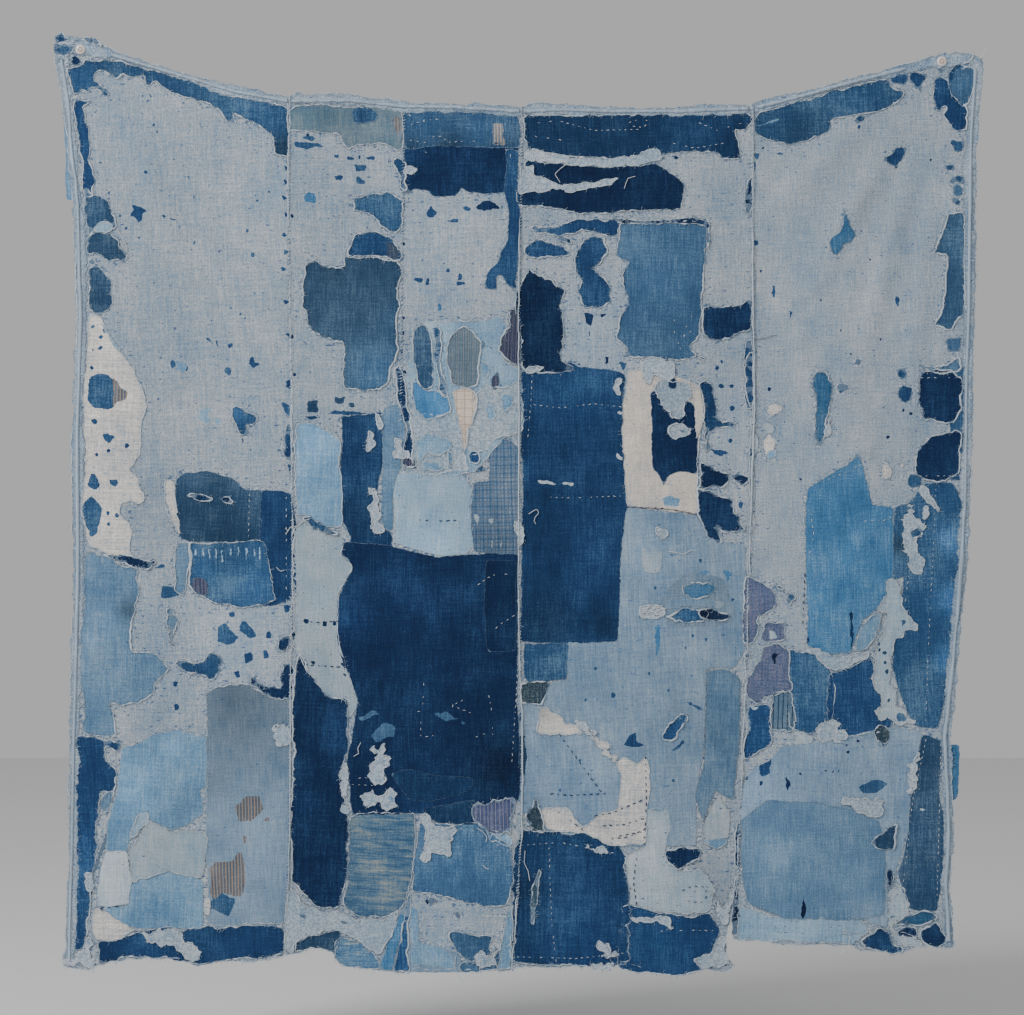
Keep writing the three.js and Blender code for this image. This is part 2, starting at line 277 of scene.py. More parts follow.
def makeCotton(name, spec):
    material = bpy.data.materials.new(name)
    material.use_nodes = True
    tree = material.node_tree
    tree.nodes.clear()
    grain = node(tree, "ShaderNodeAttribute", attribute_name="grain").outputs["Vector"]
    tone = node(tree, "ShaderNodeAttribute", attribute_name="tone").outputs["Fac"]
    edge = node(tree, "ShaderNodeAttribute", attribute_name="edge").outputs["Fac"]
    wear = node(tree, "ShaderNodeAttribute", attribute_name="wear").outputs["Fac"]
    warp = noise(tree, grain, 560, 28, 2.0)
    weft = noise(tree, grain, 28, 600, 2.0)
    broad = noise(tree, grain, 14, 11, 5.0)
    speck = noise(tree, grain, 460, 420, 2.0)
    total = maths(tree, "MULTIPLY", maths(tree, "SUBTRACT", warp, 0.5), spec.get("warp", 0.62))
    for part, share in ((weft, spec.get("weft", 0.36)), (broad, spec.get("blotch", 0.85)),
                        (speck, spec.get("mottle", 0.6)),
                        (noise(tree, grain, 20, 150, 3.0), spec.get("streak", 0.0))):
        total = maths(tree, "ADD", total, maths(tree, "MULTIPLY", maths(tree, "SUBTRACT", part, 0.5), share))
    ramp = node(tree, "ShaderNodeValToRGB")
    tree.links.new(maths(tree, "ADD", total, 0.5), ramp.inputs[0])
    stops = ramp.color_ramp.elements
    stops[0].position, stops[0].color = 0.22, tint(spec["deep"])
    stops[1].position, stops[1].color = 0.8, tint(spec["worn"])
    middle = stops.new(0.5)
    middle.color = tint(spec["ground"])
    colour = ramp.outputs[0]
    for axis, spacing, share, strength, stripe in spec.get("stripes", ()):
        apart = node(tree, "ShaderNodeSeparateXYZ")
        tree.links.new(grain, apart.inputs[0])
        wander = maths(tree, "MULTIPLY", maths(tree, "SUBTRACT", broad, 0.5), 0.004)
        run = maths(tree, "ADD", apart.outputs[axis], wander)
        turn = maths(tree, "FRACT", maths(tree, "MULTIPLY", run, 1000 / spacing))
        band = maths(tree, "LESS_THAN", turn, share)
        colour = mixed(tree, maths(tree, "MULTIPLY", band, strength), colour, tint(stripe))
    if "flecks" in spec:  # pin holes and thin places where the blue cloth behind shows
        spots = noise(tree, grain, 150, 260, 1.0)
        seen = maths(tree, "ADD", spots, maths(tree, "MULTIPLY", wear, 0.13))
        sharp = ranged(tree, seen, 0.71, 0.75)
        colour = mixed(tree, maths(tree, "MULTIPLY", sharp, 0.85), colour, tint(spec["flecks"]))
    if "curl" in spec:  # torn rags crease, with painted blue shade in the crease hollows
        fold = maths(tree, "ABSOLUTE", maths(tree, "SUBTRACT", noise(tree, grain, 120, 120, 2.0), 0.5))
        crease = ranged(tree, fold, 0.0, 0.05, 1.0, 0.0)
        colour = mixed(tree, maths(tree, "MULTIPLY", crease, spec["curl"]), colour, tint((92, 118, 148)))
    if "rippleLightShade" in spec:  # the ground wrinkles where it is torn round a darker place, with painted highlight on the crests and painted shade in the troughs
        seenWear = maths(tree, "MAXIMUM", wear, 0.001)
        away = maths(tree, "MULTIPLY", maths(tree, "LOGARITHM", seenWear, math.e), -9.0)
        loose = noise(tree, grain, 60, 60, 3.0)
        phase = maths(tree, "ADD", maths(tree, "MULTIPLY", away, 1.9), maths(tree, "MULTIPLY", loose, 40.0))
        crest = maths(tree, "MULTIPLY", maths(tree, "SINE", phase), maths(tree, "MULTIPLY", wear, wear))
        light = maths(tree, "MAXIMUM", crest, 0.0)
        dark = maths(tree, "MAXIMUM", maths(tree, "MULTIPLY", crest, -1.0), 0.0)
        # painted highlight on the wrinkle crests, then painted shade in the troughs
        colour = mixed(tree, maths(tree, "MULTIPLY", light, spec["rippleLightShade"]), colour, tint((200, 205, 208)))
        colour = mixed(tree, maths(tree, "MULTIPLY", dark, spec["rippleLightShade"]), colour, tint((84, 112, 142)))
    # torn threads along the rim show the paler cloth round it
    torn = noise(tree, grain, 240, 620, 1.0)
    reach = maths(tree, "ADD", edge, maths(tree, "MULTIPLY", maths(tree, "SUBTRACT", torn, 0.5), 2.6))
    bite = ranged(tree, reach, 0.3, 0.7, 1.0, 0.0)
    colour = mixed(tree, maths(tree, "MULTIPLY", bite, spec.get("bite", 0.6)), colour,
                   tint(spec.get("rim", rimBlue)))
    # painted shade: each cloth darkens towards its own rim, standing in for the shadow along its torn and
    # rolled edges
    paintedRimShade = ranged(tree, edge, 0.0, 2.2, 1.0 - spec.get("paintedRimShade", 0.28))
    value = node(tree, "ShaderNodeHueSaturation")
    lightness = maths(tree, "POWER", maths(tree, "ADD", tone, 1.0), 2.2)
    tree.links.new(maths(tree, "MULTIPLY", lightness, paintedRimShade), value.inputs["Value"])
    tree.links.new(colour, value.inputs["Color"])
    surface = node(tree, "ShaderNodeBsdfPrincipled")
    tree.links.new(value.outputs[0], surface.inputs["Base Color"])
    surface.inputs["Roughness"].default_value = 0.92
    surface.inputs["Specular IOR Level"].default_value = 0.15
    threads = maths(tree, "ADD", noise(tree, grain, 1150, 300, 0.0), noise(tree, grain, 300, 1150, 0.0))
    height = maths(tree, "ADD", threads, maths(tree, "MULTIPLY", maths(tree, "ADD", warp, weft), 1.3))
    if "curl" in spec:
        height = maths(tree, "SUBTRACT", height, maths(tree, "MULTIPLY", crease, 1.5))
    if "rippleLightShade" in spec:
        height = maths(tree, "ADD", height, maths(tree, "MULTIPLY", crest, 1.6))
    bump = node(tree, "ShaderNodeBump")
    bump.inputs["Distance"].default_value = 0.0005
    bump.inputs["Strength"].default_value = 0.7
    tree.links.new(height, bump.inputs["Height"])
    tree.links.new(bump.outputs[0], surface.inputs["Normal"])
    out = node(tree, "ShaderNodeOutputMaterial")
    tree.links.new(surface.outputs[0], out.inputs["Surface"])
    return material


navyThread = (44, 74, 116)
rimBlue = (128, 152, 176)
# dyed cottons: ground, worn and deeper threads, and how strong each of the other effects is; some of these
# effects are painted rim shade, crease shade and ripple light and shade
cottons = {
    "worn": dict(ground=(137, 150, 162), worn=(176, 179, 181), deep=(100, 126, 152), warp=0.6, weft=0.5,
                 blotch=0.6, mottle=0.9, flecks=navyThread, rim=(176, 184, 190), bite=0.5, paintedRimShade=0.0,
                 rippleLightShade=0.6),
    "hem": dict(ground=(145, 162, 178), worn=(188, 195, 201), deep=(98, 126, 156), warp=0.4, weft=0.4,
                blotch=0.8, mottle=1.1, flecks=navyThread, curl=0.3, rim=(120, 146, 172), bite=0.4,
                paintedRimShade=0.25),
    "pale": dict(ground=(147, 164, 176), worn=(184, 190, 194), deep=(116, 143, 164), mottle=0.6,
                 flecks=navyThread, rim=(180, 187, 192), bite=0.5, paintedRimShade=0.12),
    "cream": dict(ground=(188, 185, 181), worn=(222, 215, 206), deep=(146, 156, 166), mottle=0.9, weft=0.9,
                  flecks=(110, 140, 168), rim=(176, 184, 190), bite=0.5, paintedRimShade=0.12),
    "gridded": dict(ground=(196, 180, 164), worn=(210, 198, 186), deep=(168, 156, 146), rim=(176, 178, 182),
                    bite=0.4, paintedRimShade=0.1,
                    stripes=[(0, 11.0, 0.1, 0.45, (92, 78, 76)), (1, 12.0, 0.1, 0.4, (100, 84, 80))]),
    "beige": dict(ground=(186, 180, 173), worn=(210, 201, 191), deep=(152, 158, 164), mottle=0.9,
                  rim=(176, 178, 182), flecks=(110, 130, 156), bite=0.5, paintedRimShade=0.12),
    "paleGrey": dict(ground=(112, 135, 157), worn=(148, 163, 177), deep=(84, 112, 140), blotch=0.8,
                     mottle=0.5, flecks=(52, 88, 128), rim=(156, 170, 182), bite=0.5, paintedRimShade=0.12),
    "paleBlue": dict(ground=(132, 159, 180), worn=(170, 186, 197), deep=(98, 132, 160), flecks=navyThread,
                     rim=(172, 184, 194), bite=0.5, paintedRimShade=0.12),
    "lightBlue": dict(ground=(103, 138, 167), worn=(146, 171, 190), deep=(72, 110, 143),
                      rim=(158, 176, 190), paintedRimShade=0.12),
    "dullBlue": dict(ground=(90, 120, 147), worn=(128, 150, 170), deep=(62, 94, 126), rim=(150, 168, 182)),
    "clearBlue": dict(ground=(64, 110, 149), worn=(110, 147, 176), deep=(42, 84, 125), rim=(150, 172, 190)),
    "greyBlue": dict(ground=(57, 88, 119), worn=(96, 126, 152), deep=(38, 66, 98)),
    "midBlue": dict(ground=(41, 73, 107), worn=(84, 115, 141), deep=(25, 54, 88)),
    "slate": dict(ground=(38, 64, 91), worn=(80, 101, 121), deep=(24, 47, 75)),
    "indigo": dict(ground=(30, 60, 97), worn=(62, 97, 132), deep=(19, 43, 77)),
    "deep": dict(ground=(25, 53, 88), worn=(52, 84, 118), deep=(16, 37, 68)),
    "navy": dict(ground=(17, 39, 72), worn=(36, 65, 100), deep=(12, 28, 56)),
    "ink": dict(ground=(14, 29, 56), worn=(32, 52, 82), deep=(10, 20, 42)),
    "brownStripe": dict(ground=(84, 90, 98), worn=(124, 126, 130), deep=(58, 72, 90),
                        stripes=[(0, 4.4, 0.34, 0.55, (156, 148, 142)), (0, 8.8, 0.14, 0.6, (150, 120, 98))]),
    "plumStripe": dict(ground=(72, 80, 108), worn=(112, 116, 134), deep=(40, 54, 86),
                       stripes=[(0, 3.6, 0.3, 0.6, (38, 52, 86)), (0, 5.4, 0.16, 0.45, (146, 138, 146))]),
    "plumWeave": dict(ground=(82, 96, 124), worn=(128, 126, 142), deep=(54, 72, 104), mottle=1.0,
                      stripes=[(0, 4.2, 0.3, 0.45, (104, 90, 104)), (1, 5.0, 0.25, 0.3, (52, 76, 116))]),
    "plaid": dict(ground=(90, 116, 140), worn=(138, 152, 164), deep=(60, 86, 114),
                  stripes=[(0, 5.2, 0.42, 0.6, (44, 70, 104)), (1, 5.8, 0.42, 0.5, (48, 74, 106)),
                           (0, 10.4, 0.13, 0.2, (160, 150, 146)), (1, 11.6, 0.12, 0.2, (160, 156, 154))]),
    "weftStripe": dict(ground=(74, 103, 127), worn=(134, 141, 139), deep=(44, 76, 108), warp=0.4, weft=0.8,
                       blotch=0.9, streak=1.0),
    "torn": dict(ground=(154, 169, 181), worn=(190, 197, 201), deep=(112, 138, 162), warp=0.4, weft=0.4,
                 blotch=0.7, mottle=0.7, curl=0.55, rim=(192, 197, 202), bite=0.4, paintedRimShade=0.0),
    "greyStripe": dict(ground=(100, 120, 135), worn=(140, 150, 158), deep=(74, 96, 116), rim=(160, 172, 182),
                       stripes=[(0, 3.3, 0.36, 0.5, (66, 76, 88)), (0, 7.4, 0.12, 0.35, (152, 138, 124))]),
    "smoke": dict(ground=(98, 120, 134), worn=(142, 152, 158), deep=(64, 96, 120), blotch=1.0, mottle=0.5,
                  rim=(164, 174, 182), bite=0.5, paintedRimShade=0.15),
    "darkStripe": dict(ground=(42, 64, 90), worn=(84, 96, 110), deep=(28, 46, 72),
                       stripes=[(0, 4.0, 0.4, 0.6, (62, 58, 64))]),
    "olive": dict(ground=(44, 62, 76), worn=(92, 104, 106), deep=(28, 44, 64), mottle=1.0, bite=0.35),
    "lineStripe": dict(ground=(88, 114, 136), worn=(134, 150, 162), deep=(58, 86, 114),
                       stripes=[(0, 6.6, 0.2, 0.9, (26, 36, 58))]),
}


def plainWords(key):
    return "".join(" " + letter.lower() if letter.isupper() else letter for letter in key)


materials = {key: makeCotton(plainWords(key) + " cotton", spec) for key, spec in cottons.items()}
clothOrder = list(cottons)
print("cottons ready", len(materials))


def addObject(name, mesh):
    made = bpy.data.objects.new(name, mesh)
    bpy.context.scene.collection.objects.link(made)
    return made


def newMaterial(name):
    material = bpy.data.materials.new(name)
    material.use_nodes = True
    return material, material.node_tree.nodes["Principled BSDF"]


def newBundle():
    return {"points": [], "faces": [], "cloths": [], "grain": [], "tone": [], "edge": [], "wear": [],
            "count": 0, "area": 0.0, "rims": []}


pieceCount = 0


def addSheet(bundle, cloth, level, outline, ragged=0.6, holes=(), marks=(), tone=0.0, shades=(), around=None,
             depth=sheetDepth, rolled=True):
    global pieceCount
    pieceCount += 1
    dice = np.random.default_rng(pieceCount * 17 + 5)
    loops = [clothLoop(outline, ragged, dice)]
    loops += [clothLoop(hole, max(ragged, 0.9), dice) for hole in holes]
    firstMark = len(loops)
    markCloth = []
    for name, shapes in marks:
        for shape in shapes:
            loops.append(clothLoop(shape, 0.8, dice, 0.7))
            markCloth.append(name)
    low = loops[0].min(axis=0)
    high = loops[0].max(axis=0)
    columns, rows = [np.arange(math.ceil(a / latticeStep), math.floor(b / latticeStep) + 1) * latticeStep
                     for a, b in zip(low, high)]
    across, up = np.meshgrid(columns, rows)
    lattice = np.column_stack((across.ravel(), up.ravel()))
    border = np.vstack(loops)
    tree = nearest(border)
    kept = [spot for spot in lattice if tree.find((spot[0], spot[1], 0))[2] > clearOfEdge]
    start = 0
    rings = []
    for loop in loops:
        rings.append(list(range(start, start + len(loop))))
        start += len(loop)
    flat = [tuple(spot) for spot in border] + [tuple(spot) for spot in kept]
    edges = [(ring[i - 1], ring[i]) for ring in rings for i in range(len(ring))]
    spots, _, triangles, _, _, _ = geometry.delaunay_2d_cdt(flat, edges, [], 0, 1e-4, False)
    spots = np.array([tuple(spot) for spot in spots])
    faces = np.array(triangles)
    middles = spots[faces].mean(axis=1)
    kind = np.full(len(faces), -1)
    kind[inside(middles, loops[0])] = clothOrder.index(cloth)
    for loop in loops[1:firstMark]:
        kind[inside(middles, loop)] = -1
    marked = np.zeros(len(faces), dtype=bool)
    for loop, name in zip(loops[firstMark:], markCloth):
        within = inside(middles, loop) & (kind >= 0)
        kind[within] = clothOrder.index(name)
        marked |= within
    faces = faces[kind >= 0]
    isMark = marked[kind >= 0]
    cloths = kind[kind >= 0].tolist()
    if len(faces) == 0:
        return
    a, b, c = spots[faces[:, 0]], spots[faces[:, 1]], spots[faces[:, 2]]
    twice = (b[:, 0] - a[:, 0]) * (c[:, 1] - a[:, 1]) - (b[:, 1] - a[:, 1]) * (c[:, 0] - a[:, 0])
    faces[twice < 0] = faces[twice < 0][:, ::-1]
    used = np.unique(faces)
    renumber = np.full(len(spots), -1)
    renumber[used] = np.arange(len(used))
    faces = renumber[faces]
    spots = spots[used]
    ground = np.zeros(len(spots), dtype=bool)
    ground[faces[~isMark].ravel()] = True
    sunk = np.where(ground, 0.0, markSink)
    ownLevel = level + ownStep * (pieceCount % 9)
    back = lift(spots, ownLevel)
    front = back.copy()
    front[:, 1] -= (depth - sunk * 0.6) / 1000
    count = len(spots)
    ends = np.vstack((faces[:, [0, 1]], faces[:, [1, 2]], faces[:, [2, 0]]))
    code = ends[:, 0] * count + ends[:, 1]
    reverse = ends[:, 1] * count + ends[:, 0]
    openEdges = ends[~np.isin(code, reverse)]
    first = bundle["count"]
    bundle["points"].append(np.vstack((front, back)))
    ahead, behind = openEdges[:, 1], openEdges[:, 0]
    sides = np.column_stack((ahead, behind, behind + count, ahead + count))
    for part in (faces, faces[:, ::-1] + count, sides):
        bundle["faces"] += (part + first).tolist()
    bundle["cloths"] += cloths + cloths + [clothOrder.index(cloth)] * len(sides)
    turn = dice.uniform(-0.05, 0.05)
    shift = dice.uniform(0, 3, 2)
    p = spots[:, 0] * math.cos(turn) - spots[:, 1] * math.sin(turn)
    q = spots[:, 0] * math.sin(turn) + spots[:, 1] * math.cos(turn)
    grain = np.column_stack((p / 1000 + shift[0], q / 1000 + shift[1], np.full(count, pieceCount * 3.7)))
    shade = np.full(count, tone)
    for u, v, reach, amount in shades:
        middle = place([(u, v)])[0]
        distance = np.linalg.norm(spots - middle, axis=1)
        shade += amount * np.exp(-(distance / (reach * mmPerPixel)) ** 2)
    edgeTree = nearest(np.vstack(loops[:firstMark]))
    edge = np.array([edgeTree.find((spot[0], spot[1], 0))[2] for spot in spots])
    edge = edge / max(0.35, (ragged - 0.5) * 4.5) if rolled else edge + 3
    wear = np.zeros(count)
    if around is not None:
        wear = np.array([math.exp(-around.find((spot[0], spot[1], 0))[2] / 9) for spot in spots])
    bundle["grain"].append(np.vstack((grain, grain)))
    bundle["tone"].append(np.concatenate((shade, shade)))
    bundle["edge"].append(np.concatenate((edge, edge)))
    bundle["wear"].append(np.concatenate((wear, wear)))
    bundle["count"] += 2 * count
    bundle["area"] += float(np.abs(twice).sum()) / 2e6
    if ragged > 0.75 and rolled:
        for loop in loops[:firstMark]:
            rim = lift(loop, ownLevel)
            rim[:, 1] -= depth * 0.6 / 1000
            bundle["rims"].append((cloth, rim))


def makePiece(bundle, name):
    mesh = bpy.data.meshes.new(name)
    mesh.from_pydata(np.vstack(bundle["points"]).tolist(), [], bundle["faces"])
    used = sorted(set(bundle["cloths"]))
    for index in used:
        mesh.materials.append(materials[clothOrder[index]])
    slotOf = {index: i for i, index in enumerate(used)}
    mesh.polygons.foreach_set("material_index", [slotOf[index] for index in bundle["cloths"]])
    mesh.polygons.foreach_set("use_smooth", [True] * len(mesh.polygons))
    grain = mesh.attributes.new("grain", "FLOAT_VECTOR", "POINT")
    grain.data.foreach_set("vector", np.vstack(bundle["grain"]).ravel())
    for key in ("tone", "edge", "wear"):
        mesh.attributes.new(key, "FLOAT", "POINT").data.foreach_set("value", np.concatenate(bundle[key]))
    mesh.set_sharp_from_angle(angle=math.radians(50))
    piece = addObject(name, mesh)
    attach(piece, "root")
    return piece


rims = []


def buildPanel(panel):
    ground = newBundle()
    still = np.random.default_rng(1)
    worn = np.vstack([clothLoop(patch[3], 0.0, still) for patch in panel["patches"]])
    addSheet(ground, panel["cloth"], 0, panel["outline"], 0.8, panel["holes"], panel["marks"],
             shades=panel["shades"], around=nearest(worn))
    patchwork = newBundle()
    behind = newBundle()
    for bundle, sheets in ((patchwork, panel["patches"]), (behind, panel["backing"])):
        for cloth, level, ragged, outline, *more in sheets:
            addSheet(bundle, cloth, level, outline, ragged, **(more[0] if more else {}))
    for bundle, ending in ((ground, "Ground"), (patchwork, "Patches"), (behind, "Backing")):
        piece = makePiece(bundle, panel["name"] + ending)
        rims.extend(bundle["rims"])
    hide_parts(panel["node"])


# first panel from the left
seamOne = [(290, 97), (290, 110), (289, 205), (290, 310), (292, 410), (293, 508), (293, 585), (291, 690),
    (290, 830), (288, 885), (286, 935), (285, 955)]
firstPanel = {
    "name": "first", "node": "panel_1", "pins": ["pin_head_left"], "tall": 1.26, "cloth": "worn",
    "outline": [(57, 37), (68, 38), (80, 38), (90, 41), (105, 46), (115, 52), (140, 60), (160, 66),
        (180, 73), (195, 78), (215, 81), (235, 86), (260, 91), (280, 96)] + seamOne + [(260, 959),
        (215, 962), (198, 966), (178, 957), (165, 958), (150, 955), (135, 957), (110, 962), (98, 965),
        (91, 970), (72, 967), (64, 965), (66, 950), (68, 900), (70, 850), (69, 800), (70, 750), (71, 700),
        (74, 600), (75, 545), (73, 500), (73, 440), (75, 400), (76, 350), (78, 320), (76, 260), (74, 225),
        (76, 215), (75, 205), (71, 175), (68, 140), (63, 95), (58, 80), (56, 60)],
    "holes": [],
    "marks": [
        ("indigo", [[(131, 213), (135, 210), (133, 206), (140, 207), (147, 212), (142, 214), (142, 221),
            (138, 225), (135, 218), (130, 217)], [(162, 216), (167, 217), (165, 220)], [(170, 219),
            (178, 220), (174, 222)]] + [[(u - 3, v - 3), (u + 3, v), (u - 2, v + 3)] for u, v in
            ((287, 169), (287, 183), (286, 199), (288, 215), (286, 236), (287, 252), (287, 302),
            (285, 270))]),
        ("midBlue", [[(97, 83), (101, 86), (103, 91), (99, 92), (97, 88)], [(104, 89), (109, 91), (111, 96),
            (107, 97)], [(150, 93), (153, 96), (151, 98)], [(143, 95), (145, 97), (142, 99)]]),
        ("midBlue", dots([(121, 216, 1.5), (126, 229, 1.5), (140, 238, 1.4), (110, 193, 1.6),
            (154, 125, 1.5), (146, 173, 1.8), (101, 163, 1.4), (194, 243, 1.6), (258, 201, 1.2),
            (248, 232, 1.6), (254, 256, 2.4), (241, 314, 1.2), (269, 192, 1.2), (157, 132, 1.2)])),
        ("indigo", [[(245, 653), (252, 651), (254, 660), (246, 663)], [(264, 650), (268, 648), (270, 656),
            (265, 658)], [(266, 632), (271, 631), (272, 638), (267, 638)], [(235, 671), (240, 670),
            (240, 677), (236, 677)], [(175, 681), (179, 682), (178, 687), (174, 686)], [(173, 705),
            (178, 704), (179, 710), (175, 711)], [(228, 612), (234, 611), (234, 616), (229, 617)],
            [(285, 605), (293, 606), (291, 612), (286, 612)]]),
        ("midBlue", [[(171, 361), (174, 360), (177, 367), (173, 370)], [(183, 366), (189, 367), (186, 373)],
            [(224, 369), (229, 367), (233, 372), (230, 376), (226, 373)], [(206, 339), (210, 340),
            (214, 346)], [(216, 340), (219, 346), (221, 349), (218, 347)], [(282, 403), (288, 405),
            (292, 413), (291, 418), (284, 412)]]),
        ("indigo", [[(228, 345), (232, 343), (234, 347), (230, 349)], [(249, 361), (253, 357), (255, 363),
            (260, 364), (255, 367), (254, 372), (251, 367), (249, 366)], [(244, 381), (246, 384)],
            [(286, 334), (294, 336), (292, 341)], [(287, 382), (292, 381), (291, 391), (286, 388)],
            [(288, 464), (292, 466), (290, 476)], [(241, 438), (244, 440), (243, 444)]]),
        ("lightBlue", [[(202, 410), (212, 408), (209, 416), (213, 421), (204, 424), (200, 418)],
            [(215, 420), (219, 417), (222, 423), (217, 424)], [(176, 361), (187, 364), (184, 375),
            (178, 370)]]),
        ("midBlue", [[(219, 625), (227, 622), (235, 634), (240, 637), (230, 644), (218, 642)], [(240, 625),
            (244, 620), (254, 629), (256, 636), (250, 638), (240, 631)], box(163, 586, 180, 597)]),
        ("indigo", [[(154, 568), (163, 564), (166, 566), (160, 569)]]),
    ],
    "shades": [(276, 200, 60, 0.03), (120, 600, 40, 0.02), (230, 640, 60, 0.05), (150, 500, 30, -0.04)],
    "patches": [
        ("midBlue", 1, 0.85, [(69, 69), (80, 66), (84, 58), (98, 60), (118, 60), (132, 65), (149, 71),
            (163, 74), (180, 77), (194, 82), (214, 90), (228, 96), (245, 100), (264, 102), (289, 108),
            (290, 158), (276, 155), (274, 136), (269, 132), (247, 121), (233, 114), (239, 125), (226, 121),
            (220, 109), (214, 108), (209, 102), (185, 97), (170, 92), (154, 80), (152, 87), (146, 86),
            (144, 75), (128, 78), (124, 74), (118, 79), (108, 72), (97, 72), (95, 80), (101, 84), (111, 95),
            (104, 96), (97, 88), (92, 88), (90, 94), (82, 89), (79, 95), (74, 94)], dict(tone=-0.04,
            shades=[(284, 148, 12, -0.3), (110, 64, 20, -0.06), (82, 82, 18, 0.12), (255, 112, 26, 0.08)])),
        ("navy", 2, 0.5, [(71, 58), (76, 56), (81, 60), (80, 65), (74, 66)]),
        ("indigo", 1, 0.8, [(76, 97), (80, 102), (92, 101), (92, 104), (82, 107), (86, 113), (84, 122),
            (89, 126), (90, 146), (89, 158), (94, 170), (96, 182), (92, 188), (95, 197), (88, 198),
            (84, 189), (82, 178), (84, 164), (80, 152), (80, 138), (77, 126), (74, 110)], dict(tone=0.03)),
        ("slate", 1, 0.9, [(83, 188), (90, 187), (91, 196), (100, 197), (109, 203), (115, 216), (117, 226),
            (113, 229), (110, 222), (104, 221), (95, 230), (91, 236), (86, 222), (84, 205)],
            dict(tone=0.08)),
        ("paleBlue", 2, 0.8, [(93, 230), (104, 221), (110, 222), (114, 229), (108, 234), (98, 233)]),
        ("slate", 1, 0.9, [(87, 238), (93, 234), (100, 233), (112, 233), (119, 243), (119, 250), (126, 251),
            (129, 258), (126, 262), (118, 259), (110, 262), (101, 254), (96, 252), (92, 257), (88, 250)]),
        ("indigo", 1, 0.7, box(89, 260, 95, 264)),
        ("slate", 1, 0.9, [(91, 268), (97, 265), (106, 271), (112, 282), (113, 300), (108, 310), (102, 316),
            (95, 312), (90, 305), (89, 286)], dict(tone=0.06, shades=[(97, 300, 14, -0.1)])),
        ("midBlue", 1, 0.8, [(231, 406), (244, 407), (246, 414), (253, 412), (258, 418), (254, 424),
            (246, 423), (245, 430), (252, 434), (246, 437), (241, 434), (236, 425), (232, 419)],
            dict(shades=[(237, 415, 8, 0.2)])),
        ("indigo", 1, 0.9, [(287, 425), (292, 424), (293, 462), (286, 460), (282, 452), (286, 441)]),
        ("cream", 1, 0.8, [(90, 314), (100, 318), (105, 326), (114, 342), (124, 355), (135, 369),
            (144, 388), (146, 405), (141, 430), (141, 452), (136, 462), (129, 470), (138, 478), (139, 488),
            (146, 497), (141, 505), (132, 500), (122, 504), (120, 514), (131, 524), (133, 533), (129, 548),
            (134, 556), (112, 556), (88, 545), (82, 505), (86, 480), (86, 440), (84, 400), (87, 360)],
            dict(marks=[("midBlue", [[(91, 328), (94, 325), (96, 327), (93, 330)], [(92, 349), (95, 349),
            (94, 353)], [(89, 384), (92, 377), (101, 374), (110, 375), (116, 381), (116, 404), (108, 410),
            (94, 408), (88, 400)], [(103, 434), (108, 432), (116, 437), (109, 444)], [(91, 473), (96, 473),
            (101, 486), (98, 490), (89, 485)], [(110, 480), (118, 480), (118, 487), (111, 486)], [(93, 494),
            (104, 509), (99, 522), (99, 533), (91, 536), (83, 512), (84, 503)]]), ("indigo",
            dots([(101, 337, 2), (101, 349, 2), (93, 368, 2), (95, 421, 3), (97, 455, 1.8), (110, 451, 2),
            (128, 446, 2.4), (118, 515, 2.4), (109, 514, 2), (110, 524, 1.8), (106, 331, 2)])),
            ("brownStripe", [[(114, 379), (121, 384), (128, 393), (126, 399), (114, 406)]])])),
        ("lightBlue", 1, 0.6, [(100, 321), (106, 326), (114, 340), (122, 353), (117, 350), (108, 336)]),
        ("navy", 2, 1.0, [(98, 555), (110, 553), (120, 557), (132, 554), (157, 563), (148, 568), (128, 564),
            (110, 557)]),
        ("dullBlue", 1, 0.9, [(86, 550), (99, 556), (111, 556), (118, 565), (139, 567), (138, 600),
            (131, 640), (134, 651), (152, 653), (170, 668), (155, 680), (156, 695), (140, 703), (110, 702),
            (120, 735), (105, 737), (84, 733), (85, 700), (79, 680), (81, 642), (84, 610)],
            dict(shades=[(129, 610, 12, -0.3), (92, 640, 7, 0.12), (110, 620, 20, 0.08)])),
        ("dullBlue", 1, 1.1, [(169, 609), (174, 609), (178, 620), (174, 648), (170, 632)]),
        ("midBlue", 1, 1.1, [(178, 661), (205, 661), (216, 654), (224, 661), (213, 681), (188, 675)]),
        ("navy", 1, 1.0, [(249, 676), (258, 677), (264, 685), (282, 684), (279, 674), (283, 663),
            (291, 665), (291, 698), (272, 697), (252, 686)]),
        ("navy", 1, 0.9, [(283, 636), (291, 637), (288, 648), (282, 652), (275, 648)]),
        ("slate", 1, 0.7, [(176, 480), (185, 473), (208, 472), (232, 478), (246, 490), (264, 490),
            (262, 515), (262, 543), (190, 541), (181, 538), (175, 500)], dict(shades=[(225, 525, 34, -0.1),
            (248, 500, 20, 0.08), (190, 478, 12, 0.06)])),
        ("indigo", 1, 0.7, [(262, 490), (280, 490), (292, 494), (296, 520), (297, 596), (282, 602),
            (262, 607), (258, 560), (260, 530)], dict(tone=-0.02, shades=[(292, 530, 14, -0.1)])),
        ("dullBlue", 1, 0.9, [(178, 542), (192, 541), (192, 560), (186, 575), (185, 597), (178, 590),
            (174, 560)]),
        ("midBlue", 2, 0.8, [(189, 541), (200, 545), (262, 541), (268, 547), (272, 575), (277, 600),
            (262, 606), (240, 607), (215, 602), (197, 594), (190, 587), (191, 560)], dict(tone=0.06,
            shades=[(255, 588, 18, 0.14), (225, 552, 20, -0.12), (205, 570, 12, 0.1)], marks=[("paleBlue",
            [box(u, 546 + (u * 7) % 5, u + 1.2, 556 + (u * 11) % 7) for u in (196, 203, 209, 216, 222, 231,
            238, 246, 254, 260)])])),
        ("plumStripe", 3, 0.7, [(193, 579), (197, 577), (209, 580), (209, 594), (203, 596), (193, 588)],
            dict(tone=-0.1)),
